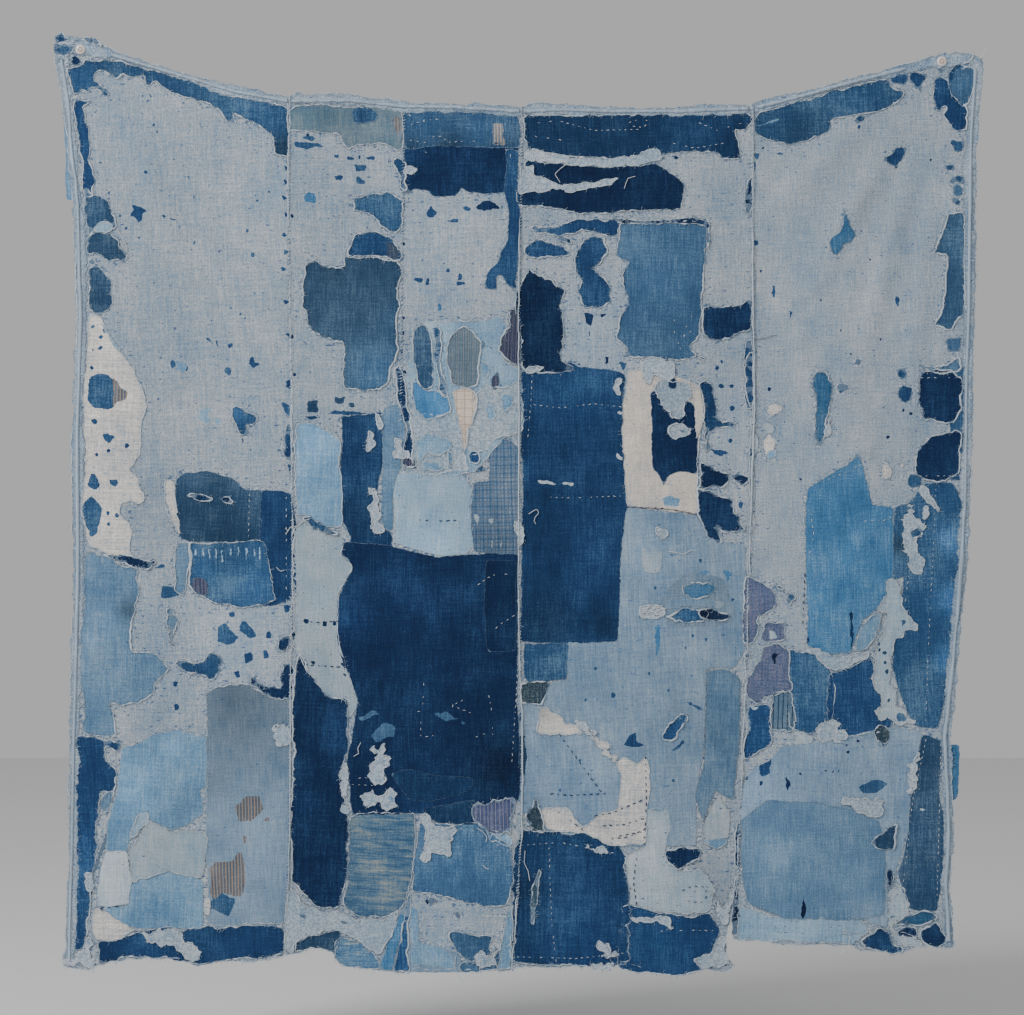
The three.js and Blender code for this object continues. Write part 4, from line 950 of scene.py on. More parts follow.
# third panel
seamThree = [(752, 106), (752, 205), (753, 310), (754, 410), (751, 508), (748, 585), (745, 690), (743, 740),
    (739, 835), (737, 885)]
thirdPanel = {
    "name": "third", "node": "panel_3", "pins": ["pin_head_left", "pin_head_right"], "tall": 1.22, "cloth":
    "worn",
    "outline": [(521, 108), (535, 104), (560, 104), (600, 108), (640, 110), (680, 108), (735, 104)] +
        seamThree + [(733, 902), (729, 920), (726, 938), (726, 955), (734, 965), (728, 972), (700, 969),
        (680, 974), (650, 971), (628, 963), (612, 965), (560, 966), (512, 968)] + seamTwo[-2:1:-1],
    "holes": [],
    "marks": [
        ("navy", [[(674, 157), (683, 158), (676, 160)], [(585, 314), (593, 315), (591, 327), (585, 325)],
            [(600, 313), (606, 314), (601, 318)], [(604, 355), (609, 358), (605, 365)], [(588, 330),
            (590, 331), (589, 337)]]),
        ("midBlue", [[(619, 362), (628, 363), (623, 371)], [(577, 363), (582, 364), (579, 366)]]),
        ("indigo", dots([(717, 368, 2.4), (721, 386, 2.6), (731, 387, 2), (731, 408, 2.6), (722, 362, 1.6),
            (730, 441, 2.2), (716, 545, 2.6), (740, 505, 3)]) + [[(710, 449), (728, 453), (722, 457),
            (714, 455)]]),
    ],
    "shades": [(590, 340, 40, 0.04), (720, 430, 40, 0.05), (717, 890, 30, -0.06)],
    "patches": [
        ("deep", 1, 0.8, [(522, 116), (610, 115), (676, 115), (745, 113), (754, 120), (748, 128),
            (734, 131), (738, 145), (742, 160), (722, 159), (716, 152), (663, 154), (652, 155), (620, 159),
            (580, 158), (527, 150)], dict(tone=-0.12, shades=[(700, 132, 40, 0.1), (740, 140, 16, -0.1)])),
        ("torn", 2, 0.9, [(525, 155), (535, 151), (575, 158), (635, 157), (655, 150), (665, 158),
            (655, 164), (600, 168), (570, 164), (527, 160)]),
        ("navy", 1, 0.8, [(526, 161), (570, 165), (600, 168), (655, 165), (670, 173), (686, 185),
            (680, 209), (645, 211), (600, 215), (550, 208), (519, 206), (518, 196)], dict(tone=-0.08)),
        ("torn", 2, 0.9, [(519, 196), (521, 177), (525, 165), (533, 166), (531, 177), (560, 184),
            (610, 181), (619, 178), (610, 187), (575, 191), (545, 190), (526, 193)]),
        ("indigo", 1, 0.9, [(531, 227), (558, 227), (580, 218), (622, 222), (618, 238), (588, 230),
            (558, 236), (532, 231)]),
        ("indigo", 1, 0.9, [(525, 248), (535, 240), (555, 243), (573, 251), (570, 257), (540, 257),
            (526, 254)]),
        ("navy", 1, 0.8, [(558, 238), (570, 238), (574, 246), (563, 242)]),
        ("indigo", 1, 1.0, [(575, 255), (580, 242), (592, 237), (604, 239), (608, 250), (600, 262),
            (590, 269), (600, 277), (608, 282), (611, 300), (600, 310), (584, 308), (579, 285), (576, 272)],
            dict(tone=-0.04)),
        ("navy", 1, 0.9, [(517, 293), (528, 270), (538, 275), (551, 280), (566, 292), (561, 305),
            (565, 335), (559, 358), (574, 368), (560, 373), (524, 372), (518, 340)], dict(tone=-0.12)),
        ("torn", 2, 1.1, [(526, 367), (535, 364), (545, 366), (539, 371), (528, 371)]),
        ("greyBlue", 1, 0.9, [(622, 222), (655, 221), (709, 221), (709, 240), (702, 265), (701, 300),
            (700, 335), (690, 347), (697, 357), (680, 361), (622, 358), (629, 350), (616, 336), (622, 318),
            (630, 305), (620, 277), (628, 262), (616, 254)], dict(shades=[(660, 280, 30, 0.06),
            (660, 340, 30, -0.04)])),
        # a thin navy strip along the top and right edge of the grey blue patch: painted shadow under that
        # edge
        ("navy", 2, 0.8, [(612, 219), (655, 221), (690, 219), (712, 221), (709, 245), (706, 250),
            (706, 226), (660, 223), (622, 224)]),
        ("navy", 2, 0.9, [(702, 306), (722, 307), (752, 302), (751, 328), (717, 341), (703, 336)]),
        ("navy", 2, 0.8, [(697, 355), (706, 358), (703, 361)]),
        ("navy", 1, 0.8, [(748, 179), (752, 176), (753, 195), (750, 217), (745, 211), (745, 193)]),
        ("indigo", 1, 0.8, [(748, 352), (753, 352), (754, 400), (750, 408), (745, 390), (746, 370)]),
        ("indigo", 1, 0.7, box(748, 448, 752, 457)),
        ("deep", 1, 0.7, [(521, 372), (552, 372), (568, 362), (580, 368), (610, 370), (625, 374),
            (622, 415), (624, 460), (628, 500), (621, 545), (620, 600), (618, 641), (580, 644), (521, 641),
            (521, 560), (523, 500), (521, 450)], dict(shades=[(522, 470, 12, 0.16), (522, 560, 10, 0.12),
            (570, 385, 40, 0.12), (548, 620, 25, -0.15), (604, 624, 14, -0.2), (590, 560, 40, 0.06)])),
        ("torn", 2, 0.75, [(537, 480), (543, 482), (550, 481), (557, 483), (556, 486), (548, 484),
            (540, 484)]),
        ("torn", 2, 0.75, [(562, 482), (568, 482), (574, 483), (573, 486), (566, 485), (562, 485)]),
        ("torn", 2, 1.0, [(614, 384), (620, 378), (622, 384), (619, 390), (622, 395), (617, 397),
            (616, 390)]),
        ("torn", 2, 0.75, [(616, 412), (621, 411), (623, 414), (619, 416)]),
        ("torn", 2, 0.75, [(615, 453), (618, 452), (624, 459), (621, 461)]),
        ("torn", 3, 1.1, [(640, 360), (652, 357), (664, 360), (675, 364), (672, 378), (664, 384),
            (655, 376), (648, 382), (642, 372)]),
        ("beige", 1, 0.8, [(627, 371), (645, 370), (685, 380), (701, 386), (703, 415), (697, 455),
            (697, 513), (640, 507), (627, 506), (623, 470), (621, 430)], dict(shades=[(655, 440, 40, -0.04),
            (628, 440, 10, 0.06), (690, 492, 14, -0.04)], marks=[("lightBlue", [[(661, 498), (670, 496),
            (680, 500), (676, 507), (664, 506)]])])),
        ("navy", 1.8, 0.7, [(651, 391), (660, 392), (666, 404), (690, 402), (697, 410), (697, 440),
            (697, 474), (683, 472), (668, 475), (663, 487), (659, 476), (652, 468), (651, 440)]),
        ("torn", 2.6, 1.0, [(656, 386), (666, 381), (680, 380), (690, 386), (693, 398), (688, 404),
            (681, 410), (684, 417), (672, 420), (666, 412), (661, 402)], dict(tone=-0.05)),
        ("torn", 2.6, 0.9, [(668, 427), (678, 424), (692, 427), (688, 434), (678, 438), (676, 442),
            (669, 437)], dict(tone=-0.05)),
        ("navy", 3.4, 0.7, [(668, 380), (674, 378), (677, 384), (675, 390), (668, 389)]),
        ("navy", 3.4, 0.7, [(678, 431), (685, 430), (683, 434)]),
        ("beige", 2.6, 0.74, [(690, 388), (700, 390), (703, 410), (700, 432), (696, 440), (694, 425),
            (695, 405)]),
        ("deep", 1, 0.9, [(700, 383), (707, 382), (713, 388), (715, 400), (715, 418), (724, 422),
            (737, 424), (736, 428), (722, 427), (708, 430), (707, 440), (712, 448), (706, 455), (703, 447),
            (704, 430), (705, 410), (703, 395)]),
        ("navy", 1, 1.0, [(700, 463), (708, 467), (729, 474), (724, 485), (705, 489), (697, 488)]),
        ("navy", 1, 0.9, [(730, 475), (745, 475), (752, 480), (742, 486)]),
        ("navy", 1, 1.0, [(697, 489), (728, 497), (735, 512), (748, 532), (722, 532), (713, 525),
            (721, 541), (708, 536), (697, 512)]),
        ("paleGrey", 1, 0.7, [(626, 507), (697, 516), (714, 541), (745, 545), (744, 650), (735, 668),
            (706, 669), (704, 745), (695, 790), (697, 845), (646, 845), (560, 845), (535, 835), (518, 800),
            (520, 690), (545, 683), (568, 680), (567, 643), (618, 641), (620, 560)],
            dict(shades=[(650, 560, 22, 0.08), (540, 770, 30, 0.06), (660, 720, 40, -0.03),
            (590, 790, 40, 0.04)], marks=[("clearBlue", [[(684, 576), (703, 570), (710, 572), (688, 579)],
            [(722, 570), (730, 571), (728, 582)], [(655, 627), (660, 624), (661, 640), (656, 655)]]),
            ("midBlue", dots([(692, 636, 1.6), (685, 648, 1.5), (613, 694, 2.6), (649, 673, 1.6),
            (706, 640, 1.6), (668, 690, 1.4), (596, 668, 1.6), (580, 760, 1.4), (560, 790, 1.5),
            (672, 780, 1.6), (700, 560, 1.6), (733, 600, 1.6), (586, 700, 1.4), (655, 588, 1.6),
            (690, 704, 1.6), (699, 708, 1.5)]) + [[(671, 750), (683, 739), (684, 742), (677, 749)],
            [(683, 698), (703, 709), (701, 710)]]), ("indigo", [[(622, 746), (630, 735), (636, 732),
            (637, 741), (644, 744), (634, 746)]]), ("slate", [[(516, 735), (525, 735), (528, 755),
            (523, 778), (518, 760)], [(516, 710), (522, 712), (520, 722)]])])),
        ("pale", 2, 0.74, [(642, 548), (650, 551), (661, 549), (662, 560), (660, 572), (645, 573),
            (641, 562)], dict(tone=-0.02)),
        ("torn", 2, 0.9, [(655, 527), (668, 531), (664, 540), (659, 537), (661, 542), (655, 536)],
            dict(tone=-0.06)),
        ("torn", 2, 0.8, [(639, 607), (650, 603), (664, 606), (665, 615), (652, 618), (640, 616)]),
        ("paleGrey", 1.4, 0.74, [(660, 600), (668, 586), (682, 574), (700, 572), (722, 578), (728, 592),
            (733, 608), (733, 620), (715, 625), (690, 626), (668, 624), (660, 612)], dict(tone=-0.08)),
        ("paleGrey", 2, 0.74, [(664, 600), (684, 596), (704, 598), (724, 602), (722, 608), (690, 606),
            (666, 608)]),
        ("midBlue", 2, 0.95, [(663, 616), (676, 611), (696, 609), (708, 611), (704, 619), (690, 622),
            (674, 622)], dict(tone=0.1)),
        ("ink", 3, 0.8, [(697, 610), (712, 609), (722, 612), (731, 615), (724, 620), (708, 620),
            (700, 617)]),
        ("clearBlue", 2, 0.95, [(680, 588), (692, 582), (708, 581), (716, 586), (710, 594), (694, 598),
            (683, 595)], dict(tone=-0.1)),
        ("indigo", 2, 0.95, [(661, 737), (666, 726), (676, 718), (687, 714), (689, 721), (680, 728),
            (677, 737), (668, 740)], dict(tone=0.1)),
        ("cream", 3, 1.1, [(582, 727), (588, 729), (596, 736), (605, 744), (606, 748), (598, 743),
            (590, 735)]),
        ("cream", 3, 1.1, [(603, 748), (609, 754), (618, 758), (617, 763), (610, 760), (604, 753)]),
        ("torn", 2.6, 1.1, [(574, 719), (588, 724), (598, 733), (592, 732), (580, 727)]),
        ("midBlue", 1, 0.7, [(524, 643), (568, 643), (567, 680), (530, 682), (524, 678)]),
        ("olive", 2, 0.8, [(520, 683), (535, 682), (551, 683), (546, 692), (543, 705), (530, 702),
            (520, 703)], dict(tone=0.04)),
        ("cream", 2, 0.9, [(541, 706), (558, 714), (567, 723), (582, 723), (583, 734), (551, 734),
            (537, 732)], dict(shades=[(545, 712, 10, -0.15)])),
        ("cream", 2, 0.8, [(615, 763), (623, 756), (638, 763), (646, 754), (649, 764), (646, 830),
            (644, 843), (612, 845), (583, 832), (560, 833), (543, 826), (542, 808), (567, 807), (583, 828),
            (600, 814), (617, 808), (621, 775)], dict(shades=[(600, 822, 14, -0.06)])),
        ("olive", 2, 1.0, [(524, 815), (535, 800), (543, 815), (544, 832), (532, 829)]),
        ("lightBlue", 1, 0.8, [(649, 806), (668, 808), (668, 812), (652, 812)]),
        ("dullBlue", 2, 0.74, [(705, 670), (728, 669), (741, 680), (737, 760), (733, 800), (715, 790),
            (703, 824), (695, 795), (704, 760), (706, 700)], dict(tone=-0.05, shades=[(720, 740, 20, -0.06),
            (705, 750, 10, 0.06), (735, 680, 12, -0.05)])),
        ("pale", 2, 0.74, [(704, 820), (718, 795), (730, 812), (728, 838), (703, 838)], dict(tone=-0.05)),
        ("lightBlue", 2, 0.8, [(700, 838), (722, 838), (728, 843), (716, 850)]),
        ("navy", 1, 0.8, [(735, 825), (740, 825), (739, 868), (735, 866)]),
        ("ink", 1, 0.8, [(732, 905), (736, 875), (739, 880), (737, 935), (731, 935)]),
        ("pale", 1, 0.9, [(647, 812), (668, 809), (669, 822), (663, 850), (677, 870), (700, 868),
            (716, 888), (711, 910), (680, 912), (628, 905), (627, 857), (646, 845)]),
        ("navy", 2, 0.8, [(664, 850), (681, 846), (701, 849), (698, 857), (677, 869), (667, 860)]),
        ("deep", 1, 1.0, [(520, 828), (545, 828), (565, 832), (583, 832), (600, 842), (622, 845),
            (629, 885), (631, 916), (628, 958), (612, 967), (575, 965), (512, 961), (512, 900), (514, 845)],
            dict(shades=[(524, 890, 14, -0.14), (580, 948, 40, 0.14), (590, 880, 40, 0.05)])),
        ("olive", 2, 0.8, [(531, 886), (540, 866), (537, 900), (533, 925), (530, 905)], dict(tone=0.3)),
        ("deep", 0.8, 0.8, [(622, 904), (640, 906), (660, 910), (692, 917), (710, 911), (721, 932),
            (710, 953), (694, 960), (705, 968), (675, 974), (635, 970), (618, 966)], dict(tone=0.08,
            shades=[(670, 950, 40, 0.08), (660, 912, 24, 0.08)])),
        ("torn", 2, 1.0, [(631, 916), (655, 915), (668, 918), (675, 929), (670, 929), (663, 922),
            (650, 920), (631, 919)]),
        ("torn", 2, 1.3, [(598, 943), (610, 948), (620, 956), (608, 958), (600, 955)]),
        ("torn", 2, 1.3, [(588, 966), (597, 961), (614, 963), (601, 967)]),
        ("torn", 2, 1.0, [(693, 960), (712, 951), (720, 937), (726, 937), (727, 956), (734, 965),
            (722, 964), (703, 969)]),
        ("torn", 2, 0.9, [(705, 885), (716, 900), (722, 925), (728, 926), (733, 902), (734, 882),
            (729, 900), (722, 910)]),
        ("torn", 2, 1.2, [(583, 847), (600, 848), (607, 853), (592, 850)]),
    ],
    "backing": [
        ("indigo", -1.6, 0.6, [(523, 118), (745, 118), (745, 230), (523, 240)]),
        ("midBlue", -1.6, 0.6, [(526, 380), (745, 380), (740, 560), (526, 640)]),
        ("slate", -1.6, 0.6, [(520, 700), (730, 700), (726, 955), (520, 955)]),
    ],
}
buildPanel(thirdPanel)


# fourth panel, the short one
fourthPanel = {
    "name": "fourth", "node": "panel_4", "pins": ["pin_head_right"], "tall": 1.2, "cloth": "worn",
    "outline": [(752, 106), (758, 101), (790, 94), (810, 91), (850, 80), (880, 72), (915, 62), (945, 54),
        (965, 54), (978, 57), (983, 63), (980, 85), (977, 125), (974, 195), (975, 261), (974, 310),
        (971, 359), (972, 408), (969, 507), (964, 582), (958, 638), (954, 687), (949, 736), (953, 833),
        (949, 882), (951, 928), (953, 948), (930, 944), (915, 947), (900, 953), (880, 950), (860, 950),
        (848, 944), (800, 943), (750, 941), (732, 939)] + seamThree[:0:-1],
    "holes": [],
    "marks": [
        ("indigo", [[(752, 240), (758, 241), (757, 246), (752, 245)], [(771, 285), (774, 286), (774, 298),
            (771, 295)], [(788, 311), (791, 312), (790, 320)], [(895, 296), (899, 299), (898, 307),
            (894, 302)], [(857, 127), (860, 126), (859, 133)]]),
        ("navy", dots([(763, 148, 1.2), (752, 227, 1.4), (887, 438, 1.8), (903, 410, 1.5), (910, 414, 1.8),
            (769, 389, 2), (820, 300, 1), (870, 260, 1), (840, 330, 1), (880, 340, 1.1), (930, 160, 1.2),
            (800, 480, 1), (895, 168, 1.1), (760, 272, 1.2), (850, 355, 1)])),
        ("midBlue", [[(754, 155), (761, 154), (757, 162)], [(774, 154), (785, 154), (780, 156)],
            [(855, 122), (864, 117), (860, 122)], [(838, 391), (848, 387), (840, 393)], [(853, 364),
            (860, 361), (857, 366)], box(752, 162, 755, 176), [(957, 190), (962, 194), (955, 196)],
            [(900, 388), (911, 391), (903, 402)]]),
    ],
    "shades": [(860, 300, 80, 0.03), (840, 450, 50, 0.03), (945, 200, 30, 0.04), (757, 490, 8, 0.1)],
    "patches": [
        ("midBlue", 1, 0.8, [(753, 133), (757, 114), (790, 105), (812, 100), (842, 90), (870, 81),
            (888, 80), (892, 89), (905, 92), (900, 101), (887, 109), (850, 116), (830, 119), (831, 131),
            (812, 140), (788, 146), (765, 138)], dict(tone=-0.06, shades=[(800, 136, 24, -0.1),
            (850, 98, 30, 0.08)], marks=[("lightBlue", [[(757, 127), (765, 123), (779, 120),
            (768, 124)]])])),
        ("indigo", 1, 0.75, [(891, 72), (897, 76), (901, 73), (909, 75), (907, 84), (901, 86), (896, 83),
            (890, 82)]),
        ("indigo", 1, 0.75, [(911, 71), (918, 74), (927, 73), (924, 82), (921, 84), (920, 90), (913, 88),
            (914, 84), (909, 79)]),
        ("navy", 1, 0.74, [(938, 70), (942, 68), (944, 69), (943, 73), (939, 74)]),
        ("indigo", 1, 0.85, [(936, 80), (942, 78), (946, 81), (950, 84), (951, 92), (957, 101), (963, 105),
            (968, 112), (968, 130), (955, 131), (948, 121), (943, 117), (947, 108), (944, 106), (941, 112),
            (935, 112), (937, 103), (931, 98), (933, 88)]),
        ("greyBlue", 2, 0.78, [(948, 80), (950, 70), (956, 65), (964, 66), (975, 69), (974, 90), (970, 103),
            (962, 107), (955, 100), (951, 92)], dict(tone=-0.04, shades=[(962, 84, 8, 0.12)],
            marks=[("indigo", [[(948, 80), (950, 70), (956, 65), (960, 66), (954, 72), (952, 81)]])])),
        ("indigo", 1, 0.75, [(884, 159), (891, 155), (895, 149), (906, 147), (903, 157), (898, 168),
            (890, 165)]),
        ("indigo", 1, 0.75, [(950, 140), (957, 142), (965, 140), (963, 150), (955, 153)]),
        ("indigo", 1, 0.75, [(943, 167), (953, 165), (954, 170), (948, 172)]),
        ("midBlue", 1, 0.75, [(949, 178), (958, 176), (967, 178), (964, 184), (955, 182), (950, 185)]),
        ("greyBlue", 1, 0.75, [(951, 188), (957, 185), (963, 189), (960, 197), (953, 197)]),
        ("greyBlue", 1, 0.75, [(951, 199), (958, 198), (961, 204), (955, 207)]),
        ("indigo", 1, 0.75, [(854, 121), (859, 116), (866, 116), (863, 121), (856, 124)]),
        ("midBlue", 1, 0.75, [(836, 387), (842, 384), (849, 388), (844, 392), (837, 391)]),
        ("indigo", 1, 0.75, [(897, 370), (904, 368), (907, 374), (903, 380), (898, 377)]),
        ("indigo", 1, 0.75, [(897, 388), (905, 385), (912, 390), (910, 400), (903, 403), (898, 397)]),
        ("midBlue", 1, 0.75, [(853, 361), (858, 358), (861, 362), (857, 366)]),
        ("indigo", 1, 0.8, [(744, 340), (752, 339), (753, 370), (752, 410), (746, 408), (745, 370)]),
        ("cream", 2, 0.74, [(880, 466), (886, 464), (891, 468), (890, 476), (884, 480), (881, 474)]),
        ("cream", 2, 0.74, [(899, 463), (903, 463), (903, 468), (899, 468)]),
        ("clearBlue", 1, 0.75, [(842, 208), (846, 216), (849, 226), (855, 233), (853, 241), (843, 245),
            (836, 257), (831, 251), (828, 241), (838, 235), (842, 226)], dict(tone=-0.1)),
        ("clearBlue", 1, 0.9, [(814, 374), (821, 371), (829, 377), (831, 390), (828, 418), (818, 448),
            (814, 430), (816, 395), (811, 386)], dict(tone=-0.17)),
        ("torn", 2, 1.0, [(829, 418), (833, 430), (826, 438), (824, 436)]),
        ("cream", 1, 0.74, [(765, 412), (770, 404), (779, 405), (782, 410), (770, 417)]),
        ("cream", 1, 0.74, [(763, 441), (769, 433), (776, 441), (773, 451), (765, 455)]),
        ("pale", 1, 0.74, [(762, 424), (768, 422), (775, 430), (769, 434)]),
        ("lightBlue", 1, 0.74, [(764, 456), (772, 450), (777, 455), (769, 460)], dict(tone=0.06)),
        ("torn", 1, 0.9, [(752, 400), (756, 402), (753, 500), (750, 578), (747, 578), (749, 500)]),
        ("greyBlue", 1, 0.8, [(948, 215), (962, 213), (964, 260), (963, 315), (950, 330), (934, 325),
            (943, 310), (947, 254), (932, 254), (940, 236)], dict(tone=-0.07)),
        ("greyBlue", 1, 0.75, [(943, 340), (960, 337), (959, 351), (949, 352)]),
        ("greyBlue", 1, 0.8, [(920, 367), (945, 366), (958, 355), (961, 370), (940, 374)]),
        ("navy", 1, 0.9, [(921, 372), (950, 370), (961, 380), (960, 410), (952, 424), (922, 419),
            (917, 400)]),
        ("midBlue", 0.7, 0.7, box(949, 366, 963, 480)),
        ("navy", 2, 0.9, [(941, 433), (960, 432), (959, 475), (935, 482), (915, 476), (916, 453),
            (930, 438)]),
        ("midBlue", 1, 0.75, [(907, 474), (920, 475), (921, 487), (908, 488)]),
        ("midBlue", 1, 0.7, [(893, 508), (908, 504), (924, 483), (952, 483), (961, 500), (960, 580),
            (952, 640), (944, 700), (937, 728), (913, 725), (898, 690), (891, 665), (896, 630), (904, 575),
            (893, 580)], dict(tone=0.02, shades=[(900, 545, 10, -0.3), (950, 540, 13, 0.4),
            (951, 600, 15, 0.42), (946, 660, 13, 0.38), (925, 660, 20, -0.04)])),
        ("torn", 2, 1.2, [(905, 503), (910, 505), (913, 517), (919, 520), (926, 522), (925, 533),
            (917, 541), (916, 552), (921, 560), (919, 572), (910, 566), (906, 552), (903, 540),
            (902, 520)]),
        ("midBlue", 3, 0.8, [(910, 529), (916, 526), (922, 529), (919, 535), (912, 538)]),
        ("torn", 2, 0.9, [(922, 506), (926, 505), (927, 514), (924, 522), (921, 520)]),
        ("torn", 2, 0.9, [(920, 485), (926, 490), (933, 498), (939, 507), (940, 514), (934, 510),
            (927, 501), (920, 493)]),
        ("pale", 2, 1.1, [(890, 582), (897, 586), (903, 600), (905, 612), (912, 620), (918, 628),
            (905, 631), (896, 645), (892, 660), (892, 688), (900, 706), (915, 722), (900, 724), (888, 716),
            (878, 722), (872, 712), (881, 700), (876, 690), (873, 665), (876, 648), (882, 630), (885, 614),
            (876, 606), (888, 598)], dict(marks=[("greyBlue", [[(900, 620), (905, 621), (902, 628)],
            oval(901, 717, 5, 5)]), ("slate", dots([(878, 643, 1.8), (884, 652, 2), (884, 662, 1.8),
            (879, 650, 1.6), (886, 672, 2), (890, 682, 1.8), (888, 700, 1.8)]))])),
        ("lightBlue", 2, 0.8, [(868, 618), (882, 612), (878, 630), (864, 650), (854, 652), (858, 630)],
            dict(tone=-0.04)),
        ("clearBlue", 1, 0.7, [(806, 488), (822, 478), (845, 466), (859, 453), (871, 505), (893, 507),
            (893, 580), (887, 600), (862, 620), (853, 640), (850, 652), (830, 654), (807, 645), (806, 575),
            (804, 545)], dict(shades=[(850, 560, 20, 0.06), (815, 600, 16, 0.06)], marks=[("navy",
            [[(850, 612), (853, 630), (851, 650), (849, 640)], [(802, 635), (808, 638), (805, 647)]])])),
        ("plumWeave", 1, 0.9, [(744, 577), (755, 577), (772, 587), (777, 606), (757, 618), (755, 642),
            (744, 644), (743, 610)], dict(shades=[(765, 592, 10, 0.1)])),
        ("plumWeave", 1, 0.9, box(764, 621, 785, 640), dict(marks=[("pale", [box(769, 630, 775, 638)])])),
        ("plumWeave", 1, 0.9, [(762, 648), (778, 643), (789, 650), (791, 690), (775, 694), (755, 704),
            (744, 690), (752, 670), (764, 655)], dict(marks=[("ink", [[(772, 655), (779, 653),
            (774, 665)]])])),
        ("plumWeave", 1, 0.8, box(745, 652, 751, 658)),
        ("midBlue", 1, 0.9, [(786, 592), (797, 597), (788, 606)]),
        ("navy", 2, 0.8, [(775, 584), (785, 588), (776, 589)]),
        ("lineStripe", 1, 0.9, [(772, 690), (791, 690), (794, 715), (790, 731), (770, 728), (771, 705)],
            dict(tone=-0.05)),
        ("indigo", 1, 0.9, [(748, 708), (760, 706), (772, 705), (770, 745), (745, 759), (741, 750),
            (748, 728)], dict(tone=0.1, marks=[("pale", [[(751, 706), (760, 706), (754, 710)]])])),
        ("midBlue", 0.8, 0.8, [(786, 650), (813, 653), (828, 666), (836, 690), (830, 722), (812, 734),
            (790, 728), (787, 690)], dict(tone=0.04)),
        ("indigo", 1, 0.8, [(828, 672), (850, 666), (870, 654), (877, 680), (887, 700), (876, 710),
            (894, 722), (880, 731), (843, 735), (827, 729), (826, 700)], dict(tone=0.06)),
        ("torn", 2, 1.0, [(812, 648), (835, 658), (850, 653), (869, 649), (868, 657), (854, 663),
            (834, 672), (823, 664)]),
        ("torn", 2, 1.2, [(813, 722), (822, 718), (837, 720), (833, 731), (843, 736), (835, 741),
            (816, 741)]),
        ("pale", 1, 0.9, [(796, 731), (812, 734), (812, 742), (792, 743)]),
        ("olive", 2, 0.8, [(874, 729), (882, 725), (889, 729), (890, 738), (884, 744), (876, 741),
            (873, 735)]),
        ("midBlue", 1, 0.8, [(879, 740), (888, 739), (886, 747), (880, 747)]),
        ("paleGrey", 1, 0.7, [(781, 745), (812, 742), (845, 737), (865, 731), (905, 727), (922, 733),
            (912, 775), (907, 830), (893, 880), (887, 870), (886, 927), (860, 918), (800, 860), (760, 830),
            (740, 818), (739, 790), (752, 768), (770, 760)], dict(tone=0.03, shades=[(750, 790, 30, 0.1)],
            marks=[("navy", [[(741, 767), (747, 764), (752, 766), (744, 773)], [(785, 775), (789, 783),
            (785, 792)], box(743, 776, 748, 780), [(758, 779), (763, 781), (760, 785)]] +
            dots([(847, 752, 1.5), (857, 741, 1.4), (846, 744, 1.2), (800, 773, 1.3), (825, 770, 1.0),
            (832, 771, 1.0), (838, 770, 1.0)])), ("midBlue", [[(857, 786), (872, 779), (888, 783),
            (876, 792), (862, 793)]]), ("indigo", [[(758, 763), (771, 756), (768, 774), (760, 776)]])])),
        ("dullBlue", 2, 0.75, [(740, 820), (752, 810), (768, 799), (815, 802), (850, 808), (878, 820),
            (885, 840), (884, 915), (866, 918), (785, 917), (745, 902), (740, 850)],
            dict(shades=[(850, 880, 30, 0.05), (770, 850, 20, 0.05)], marks=[("ink",
            [box(801, 893, 803.4, 917)])])),
        ("torn", 3, 1.2, [(841, 802), (885, 799), (879, 818), (862, 818), (850, 808)]),
        ("slate", 3, 0.8, [(868, 842), (880, 834), (896, 823), (895, 850), (878, 847)]),
        ("navy", 3, 0.8, [(886, 873), (890, 868), (893, 877), (888, 893)]),
        ("slate", 1, 0.7, [(922, 734), (941, 740), (939, 798), (947, 828), (943, 860), (936, 910),
            (908, 909), (898, 875), (907, 830), (911, 780)], dict(tone=0.06, shades=[(930, 760, 20, -0.06),
            (918, 830, 14, 0.1), (932, 880, 14, 0.1)], marks=[("pale", [[(919, 808), (926, 809),
            (922, 811)]])])),
        ("torn", 2, 1.3, [(918, 750), (917, 778), (909, 792), (909, 775)]),
        ("pale", 1, 1.1, [(888, 890), (903, 887), (908, 908), (903, 918), (893, 918), (893, 930),
            (918, 938), (927, 948), (905, 947), (893, 940), (887, 915)]),
        ("clearBlue", 2, 0.9, [(905, 915), (932, 911), (936, 917), (920, 926), (895, 924)],
            dict(tone=-0.22)),
        ("navy", 1, 0.9, [(898, 928), (917, 927), (917, 937), (898, 936)]),
        ("navy", 1, 0.9, [(920, 928), (935, 920), (946, 938), (935, 947), (919, 940)]),
        ("indigo", 2, 1.0, [(858, 940), (876, 928), (887, 930), (893, 945), (902, 951), (860, 948)]),
        ("paleBlue", 1, 0.8, [(738, 904), (773, 915), (800, 918), (860, 917), (868, 928), (852, 942),
            (790, 940), (738, 939)]),
        ("lightBlue", 2, 0.9, [(840, 930), (857, 931), (850, 935)]),
    ],
    "backing": [
        ("clearBlue", -1.6, 0.6, [(945, 744), (959, 744), (957, 796), (953, 800), (945, 795)],
            dict(tone=-0.1)),
        ("midBlue", -1.6, 0.6, [(756, 116), (890, 84), (892, 130), (760, 160)]),
        ("slate", -1.6, 0.6, [(745, 600), (940, 600), (940, 900), (745, 900)]),
    ],
}
buildPanel(fourthPanel)
print("panels ready")

